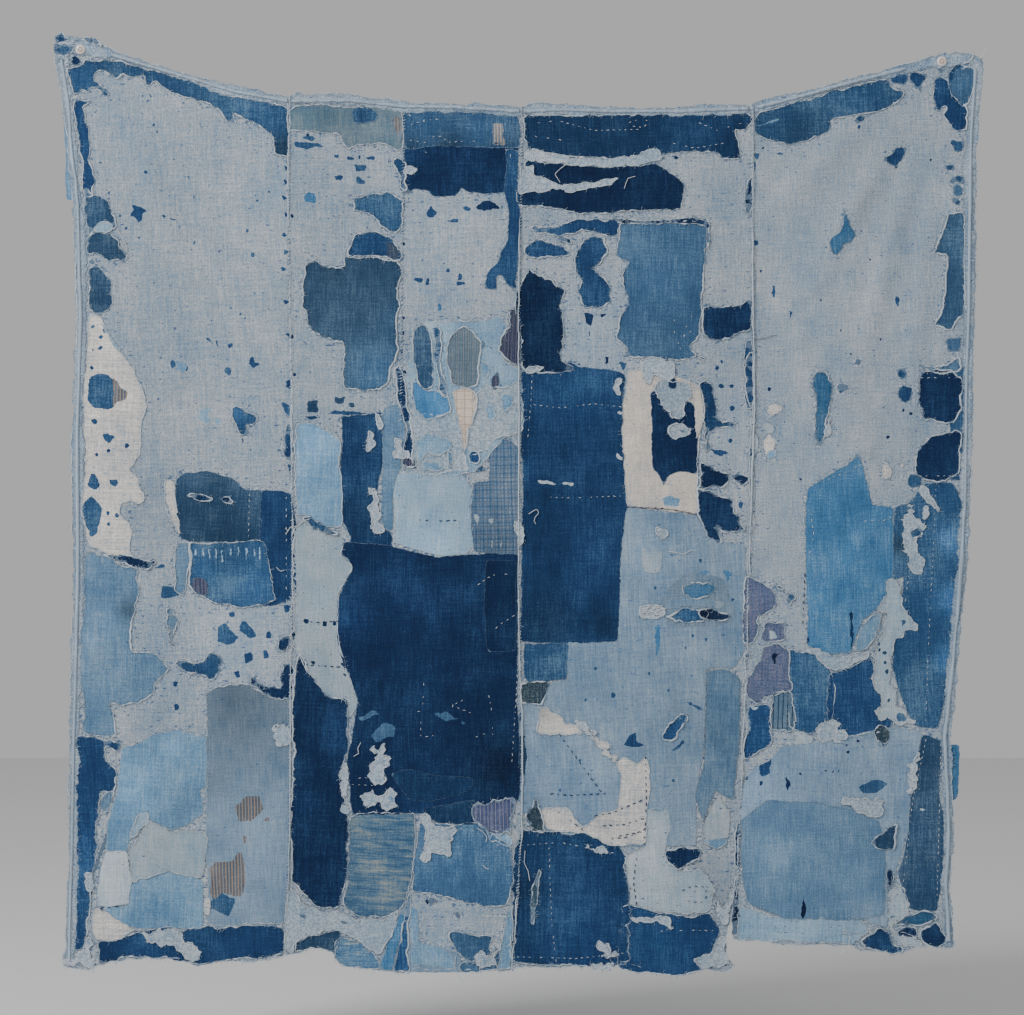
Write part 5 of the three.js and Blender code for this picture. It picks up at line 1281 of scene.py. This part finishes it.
# hems: the rolled pale edge along the top and the two selvedges
hems = newBundle()
hemShapes = [
    [(57, 37), (80, 38), (105, 46), (115, 52), (160, 66), (195, 78), (235, 86), (280, 96), (290, 97),
        (290, 107), (260, 102), (225, 96), (205, 86), (165, 73), (150, 70), (120, 60), (105, 58), (88, 57),
        (70, 53), (66, 60), (57, 62)],
    [(290, 97), (299, 91), (303, 95), (350, 96), (399, 101), (430, 105), (510, 107), (521, 109), (521, 117),
        (480, 113), (450, 112), (402, 112), (352, 106), (320, 105), (290, 107)],
    [(522, 109), (535, 104), (560, 104), (600, 108), (640, 110), (680, 108), (735, 104), (751, 106),
        (751, 113), (712, 116), (660, 116), (610, 115), (585, 117), (550, 115), (523, 116)],
    [(752, 106), (758, 101), (790, 94), (810, 91), (850, 80), (880, 72), (915, 62), (945, 54), (965, 54),
        (982, 58), (981, 66), (950, 66), (915, 71), (888, 79), (855, 82), (820, 95), (780, 108), (757, 113),
        (752, 113)],
    [(57, 60), (66, 56), (69, 80), (74, 110), (77, 150), (79, 190), (85, 215), (86, 260), (87, 320),
        (86, 350), (84, 440), (85, 545), (84, 600), (81, 700), (78, 780), (78, 850), (75, 965), (65, 965),
        (68, 900), (70, 850), (70, 750), (74, 600), (75, 545), (73, 440), (76, 350), (78, 320), (76, 260),
        (74, 225), (75, 205), (68, 140), (63, 95)],
    [(981, 62), (978, 125), (974, 195), (974, 310), (971, 359), (972, 408), (969, 507), (964, 582),
        (954, 687), (949, 736), (953, 833), (949, 882), (953, 947), (944, 947), (941, 882), (944, 833),
        (939, 736), (944, 687), (954, 582), (959, 507), (962, 408), (961, 359), (964, 310), (963, 195),
        (966, 125), (969, 68)],
]
for outline in hemShapes:
    addSheet(hems, "hem", 1.15, outline, 0.9, depth=0.6)
cornerRags = [
    ("indigo", 1.9, [(58, 39), (70, 37), (82, 37), (94, 41), (106, 46), (103, 48), (90, 44), (78, 40),
                     (66, 41), (60, 45)], 1.2),
    ("midBlue", 1.7, [(60, 47), (64, 44), (68, 49), (72, 55), (70, 58), (74, 63), (71, 67), (66, 59),
                      (64, 67), (61, 57)], 1.4),
    ("midBlue", 1.9, [(958, 67), (962, 62), (968, 58), (974, 55), (973, 59), (966, 63), (962, 68)], 1.2),
]
for cloth, level, outline, ragged in cornerRags:
    addSheet(hems, cloth, level, outline, ragged)
hemPiece = makePiece(hems, "hems")
rims.extend(hems["rims"])
print("hems ready", len(hemPiece.data.polygons))


# threads sewn and frayed
def makeThread(name, colour, rough):
    material, surface = newMaterial(name)
    tree = material.node_tree
    where = node(tree, "ShaderNodeTexCoord").outputs["Object"]
    shade = noise(tree, where, 240, 240, 2.0)
    dark = [c * 0.72 for c in colour]
    tree.links.new(mixed(tree, shade, tint(dark), tint([min(255, c * 1.12) for c in colour])),
                   surface.inputs["Base Color"])
    surface.inputs["Roughness"].default_value = rough
    surface.inputs["Specular IOR Level"].default_value = 0.15
    return material


threadCottons = {
    "white": makeThread("white sewing thread", (196, 200, 204), 0.85),
    "pale": makeThread("pale frayed thread", (172, 185, 197), 0.9),
    "cord": makeThread("rolled torn edge", (182, 193, 203), 0.95),
    "strip": makeThread("rolled hem", (158, 174, 190), 0.95),
    "blue": makeThread("blue frayed thread", (62, 98, 138), 0.9),
    "navy": makeThread("navy sewing thread", (28, 50, 84), 0.85),
    "brown": makeThread("brown thread", (96, 74, 66), 0.85),
}


def makeLines(name, lines):
    points = []
    edges = []
    for line, closed in lines:
        first = len(points)
        points += [tuple(spot) for spot in line]
        edges += [(first + i, first + i + 1) for i in range(len(line) - 1)]
        if closed:
            edges.append((first + len(line) - 1, first))
    mesh = bpy.data.meshes.new(name)
    mesh.from_pydata(points, edges, [])
    return addObject(name, mesh)


def openTree(name, inputs):
    # a node tree that works on lines, with its named inputs
    tree = bpy.data.node_groups.new(name + " nodes", "GeometryNodeTree")
    tree.interface.new_socket("Geometry", in_out="INPUT", socket_type="NodeSocketGeometry")
    sockets = {}
    for label, kind in inputs:
        sockets[label] = tree.interface.new_socket(label, in_out="INPUT", socket_type=kind).identifier
    tree.interface.new_socket("Geometry", in_out="OUTPUT", socket_type="NodeSocketGeometry")
    start = node(tree, "NodeGroupInput")
    curve = node(tree, "GeometryNodeMeshToCurve")
    tree.links.new(start.outputs["Geometry"], curve.inputs[0])
    spaced = node(tree, "GeometryNodeResampleCurve", mode="LENGTH")
    tree.links.new(curve.outputs[0], spaced.inputs["Curve"])
    tree.links.new(start.outputs["Pitch"], spaced.inputs["Length"])
    return tree, sockets, start, spaced.outputs[0]


def closeTree(name, tree, grown, material, holder, values):
    # instances made real, coloured, then kept as a plain mesh
    real = node(tree, "GeometryNodeRealizeInstances")
    tree.links.new(grown, real.inputs[0])
    coloured = node(tree, "GeometryNodeSetMaterial")
    coloured.inputs["Material"].default_value = material
    tree.links.new(real.outputs[0], coloured.inputs["Geometry"])
    smooth = node(tree, "GeometryNodeSetShadeSmooth")
    tree.links.new(coloured.outputs[0], smooth.inputs["Geometry"])
    finish = node(tree, "NodeGroupOutput")
    tree.links.new(smooth.outputs[0], finish.inputs["Geometry"])
    modifier = holder.modifiers.new(name, "NODES")
    modifier.node_group = tree
    for socket, value in values.items():
        modifier[socket] = value
    seen = holder.evaluated_get(bpy.context.evaluated_depsgraph_get())
    mesh = bpy.data.meshes.new_from_object(seen)
    mesh.name = name
    bpy.data.objects.remove(holder)
    piece = addObject(name, mesh)
    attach(piece, "root")
    print(name, "triangles", sum(len(p.vertices) - 2 for p in mesh.polygons))
    return piece


def rollEdges(name, lines, cotton, pitch, thick, stray, seed, least=0.08):
    # torn edges roll up into a soft uneven cord
    holder = makeLines(name + " line", lines)
    tree, sockets, start, spaced = openTree(name, (("Pitch", "NodeSocketFloat"), ("Thick", "NodeSocketFloat"),
                                                   ("Stray", "NodeSocketFloat"), ("Seed", "NodeSocketFloat")))
    link = tree.links.new
    where = node(tree, "GeometryNodeInputPosition").outputs[0]
    shifted = node(tree, "ShaderNodeVectorMath", operation="ADD")
    link(where, shifted.inputs[0])
    link(start.outputs["Seed"], shifted.inputs[1])
    pushed = node(tree, "ShaderNodeVectorMath", operation="SUBTRACT")
    link(noise(tree, shifted.outputs[0], 210, 210, 2.0, "Color"), pushed.inputs[0])
    pushed.inputs[1].default_value = (0.5, 0.62, 0.5)
    strayed = node(tree, "ShaderNodeVectorMath", operation="MULTIPLY")
    link(pushed.outputs[0], strayed.inputs[0])
    link(start.outputs["Stray"], strayed.inputs[1])
    moved = node(tree, "GeometryNodeSetPosition")
    link(spaced, moved.inputs["Geometry"])
    link(strayed.outputs[0], moved.inputs["Offset"])
    plump = ranged(tree, noise(tree, shifted.outputs[0], 130, 130, 2.0), 0.42, 0.66, least)
    ring = node(tree, "GeometryNodeCurvePrimitiveCircle")
    ring.inputs["Resolution"].default_value = 4
    link(start.outputs["Thick"], ring.inputs["Radius"])
    body = node(tree, "GeometryNodeCurveToMesh")
    link(moved.outputs[0], body.inputs["Curve"])
    link(ring.outputs[0], body.inputs["Profile Curve"])
    link(plump, body.inputs["Scale"])
    body.inputs["Fill Caps"].default_value = True
    values = {sockets["Pitch"]: pitch, sockets["Thick"]: thick, sockets["Stray"]: stray,
              sockets["Seed"]: seed}
    return closeTree(name, tree, body.outputs[0], threadCottons[cotton], holder, values)


def growOn(name, lines, cotton, pitch, size, keep, swing, lean, seed, bent=False):
    # short threads along lines: sewn stitches lie along the line, frayed ends lie anyhow
    holder = makeLines(name + " line", lines)
    tree, sockets, start, spaced = openTree(name, (("Pitch", "NodeSocketFloat"), ("Kept", "NodeSocketFloat"),
                                                   ("Swing", "NodeSocketFloat"), ("Seed", "NodeSocketInt")))
    link = tree.links.new
    tangent = node(tree, "GeometryNodeInputTangent")
    flatten = node(tree, "FunctionNodeAlignRotationToVector", axis="X")
    link(tangent.outputs[0], flatten.inputs["Vector"])
    kept = node(tree, "FunctionNodeRandomValue", data_type="BOOLEAN")
    link(start.outputs["Kept"], kept.inputs["Probability"])
    link(start.outputs["Seed"], kept.inputs["Seed"])
    spin = node(tree, "FunctionNodeRandomValue", data_type="FLOAT")
    link(maths(tree, "MULTIPLY", start.outputs["Swing"], -1.0), spin.inputs[2])
    link(start.outputs["Swing"], spin.inputs[3])
    link(maths(tree, "ADD", start.outputs["Seed"], 7), spin.inputs["Seed"])
    turned = node(tree, "FunctionNodeAxisAngleToRotation")
    turned.inputs["Axis"].default_value = (0, 1, 0)
    link(maths(tree, "ADD", spin.outputs[1], lean), turned.inputs["Angle"])
    both = node(tree, "FunctionNodeRotateRotation", rotation_space="GLOBAL")
    link(flatten.outputs[0], both.inputs[0])
    link(turned.outputs[0], both.inputs[1])
    grow = node(tree, "FunctionNodeRandomValue", data_type="FLOAT")
    grow.inputs[2].default_value = 0.65
    grow.inputs[3].default_value = 1.35
    link(maths(tree, "ADD", start.outputs["Seed"], 3), grow.inputs["Seed"])
    if bent:
        arc = node(tree, "GeometryNodeCurveQuadraticBezier")
        arc.inputs["Resolution"].default_value = 3
        arc.inputs["Start"].default_value = (0, 0, 0)
        arc.inputs["Middle"].default_value = (size[0] * 0.5, -0.0002, size[0] * 0.3)
        arc.inputs["End"].default_value = (size[0], -0.0007, 0)
        ring = node(tree, "GeometryNodeCurvePrimitiveCircle")
        ring.inputs["Resolution"].default_value = 3
        ring.inputs["Radius"].default_value = size[1]
        body = node(tree, "GeometryNodeCurveToMesh")
        link(arc.outputs[0], body.inputs["Curve"])
        link(ring.outputs[0], body.inputs["Profile Curve"])
        one = body.outputs[0]
    else:
        ball = node(tree, "GeometryNodeMeshUVSphere")
        ball.inputs["Segments"].default_value = 6
        ball.inputs["Rings"].default_value = 4
        ball.inputs["Radius"].default_value = 1.0
        shaped = node(tree, "GeometryNodeTransform")
        shaped.inputs["Scale"].default_value = size
        link(ball.outputs[0], shaped.inputs["Geometry"])
        one = shaped.outputs[0]
    laid = node(tree, "GeometryNodeInstanceOnPoints")
    link(spaced, laid.inputs["Points"])
    link(kept.outputs[3], laid.inputs["Selection"])
    link(one, laid.inputs["Instance"])
    link(both.outputs[0], laid.inputs["Rotation"])
    link(grow.outputs[1], laid.inputs["Scale"])
    values = {sockets["Pitch"]: pitch, sockets["Kept"]: keep, sockets["Swing"]: swing, sockets["Seed"]: seed}
    return closeTree(name, tree, laid.outputs[0], threadCottons[cotton], holder, values)


def onCloth(points, level, lengthStep=3.0):
    # a run of picture points laid on top of the cloth at that level
    spots = place(points)
    pieces = [spots[:1]]
    for a, b in zip(spots[:-1], spots[1:]):
        n = max(1, int(round(np.linalg.norm(b - a) / lengthStep)))
        pieces.append(a + (b - a) * np.arange(1, n + 1)[:, None] / n)
    line = lift(np.vstack(pieces), level)
    line[:, 1] -= (sheetDepth + 0.35) / 1000
    return line


paleCloths = {"worn", "hem", "pale", "cream", "beige", "paleGrey", "paleBlue", "lightBlue"}
paleRims = [(rim, True) for cloth, rim in rims if cloth in paleCloths]
darkRims = [(rim, True) for cloth, rim in rims if cloth not in paleCloths]
stripRims = [(rim, True) for cloth, rim in rims if cloth in paleCloths and cloth != "hem"]
# pitch, size, thick and stray are in metres, keep is the share that is left, swing and lean are in radians
growOn("paleFray", paleRims, "pale", pitch=0.005, size=(0.0046, 0.00022), keep=0.75, swing=math.pi, lean=0.0,
       seed=11, bent=True)
growOn("darkPatchFray", darkRims, "pale", pitch=0.0044, size=(0.0042, 0.00022), keep=0.8, swing=math.pi,
       lean=0.0, seed=23, bent=True)
growOn("blueFray", darkRims, "blue", pitch=0.008, size=(0.004, 0.0002), keep=0.8, swing=math.pi, lean=0.0,
       seed=37, bent=True)
rollEdges("rolledTears", darkRims, "cord", pitch=0.0034, thick=0.0016, stray=0.0042, seed=3.1, least=0.03)
rollEdges("rolledStrips", stripRims, "cord", pitch=0.004, thick=0.0012, stray=0.0032, seed=8.7, least=0.03)
seamRuns = [(onCloth(line, 1), False) for line in (seamOne, seamTwo, seamThree)]
rollEdges("seamCord", seamRuns, "cord", pitch=0.0045, thick=0.0013, stray=0.012, seed=4.4, least=0.05)
halfJoin = [(onCloth([(404, 112), (403, 200), (402, 300), (401, 420)], 1), False)]
growOn("seamStitchesPale", seamRuns + halfJoin, "pale", pitch=0.0042, size=(0.0026, 0.0005, 0.0005),
       keep=0.85, swing=0.5, lean=0.9, seed=51)
growOn("seamStitchesBlue", seamRuns + halfJoin, "blue", pitch=0.0058, size=(0.0024, 0.00045, 0.0005),
       keep=0.75, swing=0.6, lean=0.8, seed=53)
whiteRuns = [
    ([(410, 116), (416, 119), (424, 122)], 1), ([(412, 125), (424, 121), (437, 120)], 1),
    ([(411, 141), (425, 143)], 1), ([(428, 138), (441, 137), (449, 143), (462, 142), (474, 142)], 1),
    ([(414, 149), (418, 155), (424, 158)], 1), ([(426, 153), (432, 158)], 1),
    ([(506, 151), (511, 157), (510, 163)], 1.5), ([(409, 160), (413, 168)], 1),
    ([(466, 596), (476, 586), (492, 575), (506, 574)], 2), ([(519, 640), (516, 700), (512, 760)], 1.5),
    ([(462, 700), (452, 705), (470, 712)], 1.5), ([(520, 122), (523, 135), (521, 150)], 1.5),
    ([(533, 124), (558, 121), (576, 126), (595, 131), (643, 130)], 1),
    ([(536, 137), (558, 140), (572, 142)], 1),
    ([(630, 123), (641, 119), (651, 123), (642, 128), (634, 127)], 1),
    ([(668, 143), (695, 149), (722, 144)], 1), ([(700, 124), (717, 131), (740, 124)], 1),
    ([(535, 405), (560, 408), (594, 404), (620, 407)], 1), ([(545, 497), (573, 498), (620, 496)], 1),
    ([(532, 376), (531, 400), (528, 436)], 1), ([(424, 684), (423, 704), (421, 724), (421, 735)], 1),
    ([(419, 711), (428, 709)], 1), ([(427, 736), (445, 733)], 1), ([(488, 690), (492, 712), (493, 740)], 1),
    ([(477, 736), (498, 728)], 1), ([(674, 321), (674, 333), (680, 349)], 1), ([(686, 327), (691, 317)], 1),
    ([(684, 336), (690, 332)], 1), ([(549, 848), (550, 880), (552, 925), (556, 960)], 1),
    ([(655, 930), (690, 929), (712, 930)], 1), ([(865, 521), (886, 520), (895, 514)], 1),
    ([(810, 514), (813, 535), (809, 552)], 1), ([(354, 778), (372, 777)], 1),
    ([(492, 632), (500, 624), (510, 618), (519, 612)], 2), ([(353, 784), (372, 785)], 1),
    ([(287, 486), (287, 600)], 1), ([(250, 495), (249, 540), (252, 600)], 1),
    ([(420, 826), (470, 828), (508, 850)], 1), ([(921, 378), (955, 378)], 1), ([(920, 476), (955, 476)], 2),
    ([(812, 486), (850, 470), (860, 465)], 1), ([(516, 845), (560, 842), (612, 852)], 1),
    ([(518, 956), (575, 958), (622, 952)], 1), ([(925, 740), (912, 800), (903, 880)], 1),
    ([(940, 745), (938, 830), (936, 900)], 1), ([(912, 500), (910, 560), (905, 600)], 1),
    ([(935, 490), (932, 560), (928, 640), (925, 720)], 1),
]
whiteLines = [(onCloth(run, level), False) for run, level in whiteRuns]
growOn("whiteStitches", whiteLines, "white", pitch=0.0082, size=(0.0019, 0.00042, 0.0004), keep=0.8,
       swing=0.35, lean=0.0, seed=61)
navyRuns = [
    ([(645, 757), (646, 800), (644, 843)], 2), ([(559, 812), (573, 822), (582, 829)], 2),
    ([(620, 835), (640, 831)], 2), ([(636, 858), (633, 880), (636, 902)], 1),
    ([(683, 889), (692, 885), (704, 886), (707, 895), (700, 902), (688, 900)], 1),
    ([(420, 520), (440, 521), (462, 520)], 1), ([(804, 575), (802, 622)], 1),
    ([(627, 507), (660, 508), (696, 514)], 1), ([(103, 907), (118, 905)], 2),
    ([(596, 815), (612, 812), (640, 800)], 2), ([(604, 825), (622, 824), (642, 818)], 2),
    ([(612, 838), (628, 836), (644, 828)], 2), ([(305, 621), (318, 622), (338, 621)], 1),
    ([(300, 664), (345, 667)], 1), ([(560, 735), (600, 790)], 1), ([(545, 793), (570, 795), (604, 793)], 1),
]
navyLines = [(onCloth(run, level + 0.5), False) for run, level in navyRuns]
growOn("navyStitches", navyLines, "navy", pitch=0.009, size=(0.0024, 0.0006, 0.0007), keep=0.85, swing=0.3,
       lean=0.0, seed=67)
hemRuns = [
    ([(112, 55), (160, 70), (195, 80), (235, 92), (288, 102)], 1.15),
    ([(292, 102), (350, 101), (402, 107), (455, 108), (519, 112)], 1.15),
    ([(524, 112), (560, 110), (610, 112), (680, 112), (748, 109)], 1.15),
    ([(756, 108), (800, 97), (850, 83), (905, 69)], 1.15),
    ([(62, 60), (68, 100), (71, 140), (79, 205), (80, 260), (82, 320), (78, 440), (79, 545), (76, 700),
        (73, 850), (70, 960)], 1.15),
    ([(975, 70), (970, 150), (968, 310), (966, 359), (964, 507), (958, 600), (948, 700), (944, 736),
        (948, 833), (945, 882), (948, 940)], 1.15),
]
hemLines = [(onCloth(run, level), False) for run, level in hemRuns]
growOn("hemStitches", hemLines, "pale", pitch=0.0062, size=(0.0024, 0.0005, 0.0005), keep=0.8, swing=0.9,
       lean=0.5, seed=71)
rollEdges("hemRoll", hemLines, "strip", pitch=0.004, thick=0.0036, stray=0.0034, seed=6.2, least=0.6)
looseRuns = [
    ([(118, 228), (121, 234), (125, 240), (127, 246), (127, 252)], 3),
    ([(310, 519), (304, 521), (298, 526), (291, 527), (288, 532)], 3),
    ([(286, 528), (289, 531), (286, 534)], 3), ([(277, 567), (281, 571), (285, 570)], 3),
    ([(361, 742), (358, 748), (359, 753), (354, 756)], 3),
    ([(477, 827), (483, 831), (487, 836), (486, 841)], 3), ([(483, 864), (485, 867), (489, 868)], 3),
    ([(456, 955), (455, 965), (458, 974), (463, 980)], 2), ([(480, 958), (480, 969), (482, 976)], 2),
    ([(495, 958), (498, 968), (501, 974)], 2), ([(568, 163), (558, 171), (555, 175), (560, 183)], 3),
    ([(624, 189), (626, 183), (628, 179), (635, 177)], 3),
    ([(529, 514), (533, 511), (537, 509), (539, 513), (535, 517), (534, 521), (536, 524)], 3),
    ([(683, 528), (687, 531), (690, 535)], 3), ([(668, 551), (682, 554), (691, 550)], 3),
    ([(586, 732), (592, 733), (598, 738), (606, 742), (611, 746), (606, 748), (598, 743), (590, 737)], 4),
    ([(607, 750), (612, 757), (617, 762), (611, 760)], 4), ([(848, 938), (848, 948), (850, 958)], 2),
    ([(848, 945), (843, 948), (840, 953)], 2), ([(970, 261), (977, 262), (983, 259)], 2),
    ([(970, 60), (973, 55), (972, 50)], 2), ([(979, 60), (983, 54), (986, 50)], 2),
    ([(525, 850), (524, 862), (528, 870), (530, 880)], 3),
    ([(290, 596), (296, 602), (291, 608), (297, 614)], 3),
    ([(289, 622), (296, 628), (290, 636), (295, 642), (291, 650)], 3),
    ([(292, 586), (298, 592), (294, 598)], 3),
]
looseLines = [(onCloth(run, level, 2.0), False) for run, level in looseRuns]
rollEdges("looseThreads", looseLines, "white", pitch=0.002, thick=0.0006, stray=0.0016, seed=9.1, least=0.75)
darnDice = random.Random(3)
darn = []
for i in range(26):
    u, v = darnDice.uniform(640, 663), darnDice.uniform(605, 615)
    darn.append((onCloth([(u, v), (u + darnDice.uniform(2, 4), v + darnDice.uniform(-1.6, 0.6))], 3), False))
rollEdges("darn", darn, "white", pitch=0.002, thick=0.0008, stray=0.0004, seed=2.3, least=0.8)
brownRuns = [
    [(754, 340), (763, 339), (770, 337), (776, 335)],
    [(628, 507), (650, 508), (675, 510), (694, 514)],
]
brownLines = [(onCloth(run, 2, 2.0), False) for run in brownRuns]
rollEdges("brownThreads", brownLines, "brown", pitch=0.002, thick=0.00045, stray=0.001, seed=5.9, least=0.7)
print("threads ready")

# pins: a clear domed head with a warm ring in it, on a steel shank
pinHead = dict(radius=7.0, back=4.8, rim=1.2, depth=3.6, ringFrom=2.0, ringTo=3.4)
pinShank = dict(radius=0.55, point=0.05, taper=1.6, tip=7.0, inHead=2.2)


def makeShiny(name, colour, roughness, metal, clear):
    material, surface = newMaterial(name)
    surface.inputs["Base Color"].default_value = tint(colour)
    surface.inputs["Roughness"].default_value = roughness
    surface.inputs["Metallic"].default_value = metal
    surface.inputs["Transmission Weight"].default_value = clear
    return material


def turned(name, profile, across, up, surfaces, slots):
    # radius and distance from the wall, turned round the pin's axis
    sides = 40
    points = []
    for radius, out in profile:
        for i in range(sides):
            turn = math.tau * i / sides
            sideways = (across + radius * math.cos(turn)) / 1000
            upwards = (up + radius * math.sin(turn)) / 1000
            points.append((sideways, -out / 1000, upwards))
    faces = [tuple(range(sides))]
    kinds = [0]
    for ring in range(len(profile) - 1):
        for i in range(sides):
            a, b = ring * sides + i, ring * sides + (i + 1) % sides
            faces.append((a, a + sides, b + sides, b))
            kinds.append(slots[ring])
    faces.append(tuple(reversed(range((len(profile) - 1) * sides, len(profile) * sides))))
    kinds.append(0)
    mesh = bpy.data.meshes.new(name)
    mesh.from_pydata(points, [], faces)
    for surface in surfaces:
        mesh.materials.append(surface)
    mesh.polygons.foreach_set("material_index", kinds)
    mesh.polygons.foreach_set("use_smooth", [True] * len(faces))
    mesh.set_sharp_from_angle(angle=math.radians(40))
    piece = addObject(name, mesh)
    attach(piece, "root")
    return piece


pearl = makeShiny("clear pin plastic", (226, 218, 212), 0.14, 0.0, 0.35)
warmRing = makeShiny("warm ring in the pin", (158, 128, 112), 0.3, 0.0, 0.2)
brightSteel = makeShiny("bright pin steel", (168, 168, 170), 0.28, 1.0, 0.0)
dome = [(pinHead["radius"], pinHead["back"])]
for radius in (7.0, 6.7, 6.1, 5.2, 4.2, 3.4, 2.7, 2.0, 1.2, 0.4):
    rise = math.sqrt(max(0.0, 1 - (radius / pinHead["radius"]) ** 2))
    dome.append((radius, pinHead["back"] + pinHead["rim"] + (pinHead["depth"] - pinHead["rim"]) * rise))
domeSlots = []
for outer, inner in zip(dome, dome[1:]):
    domeSlots.append(1 if pinHead["ringFrom"] <= inner[0] < outer[0] <= pinHead["ringTo"] else 0)
shankEnd = pinHead["back"] + pinShank["inHead"]
shank = [(pinShank["point"], -pinShank["tip"]), (pinShank["radius"], pinShank["taper"] - pinShank["tip"]),
         (pinShank["radius"], shankEnd)]
for side, across, up in (("left", 0, 0), ("right", pinSpan, -rightPinFall)):
    head = turned("pinHead." + side, dome, across, up, [pearl, warmRing], domeSlots)
    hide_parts("pin_head_" + side)
    rod = turned("pinShank." + side, shank, across, up, [brightSteel], [0, 0])
    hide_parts("pin_shank_" + side)
print("pins ready")


# soft light, a pale floor under the foot, and the camera where the picture was taken from
def makePlain(name, colour, roughness):
    made, surface = newMaterial(name)
    surface.inputs["Base Color"].default_value = tint(colour)
    surface.inputs["Roughness"].default_value = roughness
    return made


studio = dict(across=0.6123, up=-0.6498, distance=6.0, frameWidth=1.454, floorBelow=1.42, floorSide=14,
              skyStrength=0.47, sensor=36,
              lamps=[("key light", (-2.6, -3.2, 2.4), 1.8, 262), ("fill light", (3.4, -4.0, 0.6), 3.5, 40)])


def buildStage():
    floorSpot = (studio["across"], 0, -studio["floorBelow"])
    bpy.ops.mesh.primitive_plane_add(size=studio["floorSide"], location=floorSpot)
    floor = bpy.context.object
    floor.name = "studio floor"
    floor.data.materials.append(makePlain("pale floor", (225, 225, 225), 0.9))
    world = bpy.data.worlds.new("studio light")
    bpy.context.scene.world = world
    world.use_nodes = True
    sky = world.node_tree.nodes["Background"]
    sky.inputs["Color"].default_value = (1.0, 1.0, 1.0, 1)
    sky.inputs["Strength"].default_value = studio["skyStrength"]
    for name, spot, size, power in studio["lamps"]:
        lamp = bpy.data.lights.new(name, "AREA")
        lamp.size = size
        lamp.energy = power
        holder = bpy.data.objects.new(name, lamp)
        holder.location = spot
        target = mathutils.Vector((studio["across"], 0, studio["up"]))
        holder.rotation_euler = (target - holder.location).to_track_quat("-Z", "Y").to_euler()
        bpy.context.scene.collection.objects.link(holder)
    lens = bpy.data.cameras.new("picture camera")
    lens.sensor_width = studio["sensor"]
    lens.lens = studio["sensor"] * studio["distance"] / studio["frameWidth"]
    camera = bpy.data.objects.new("picture camera", lens)
    camera.location = (studio["across"], -studio["distance"], studio["up"])
    camera.rotation_euler = (math.pi / 2, 0, 0)
    bpy.context.scene.collection.objects.link(camera)
    bpy.context.scene.camera = camera


buildStage()
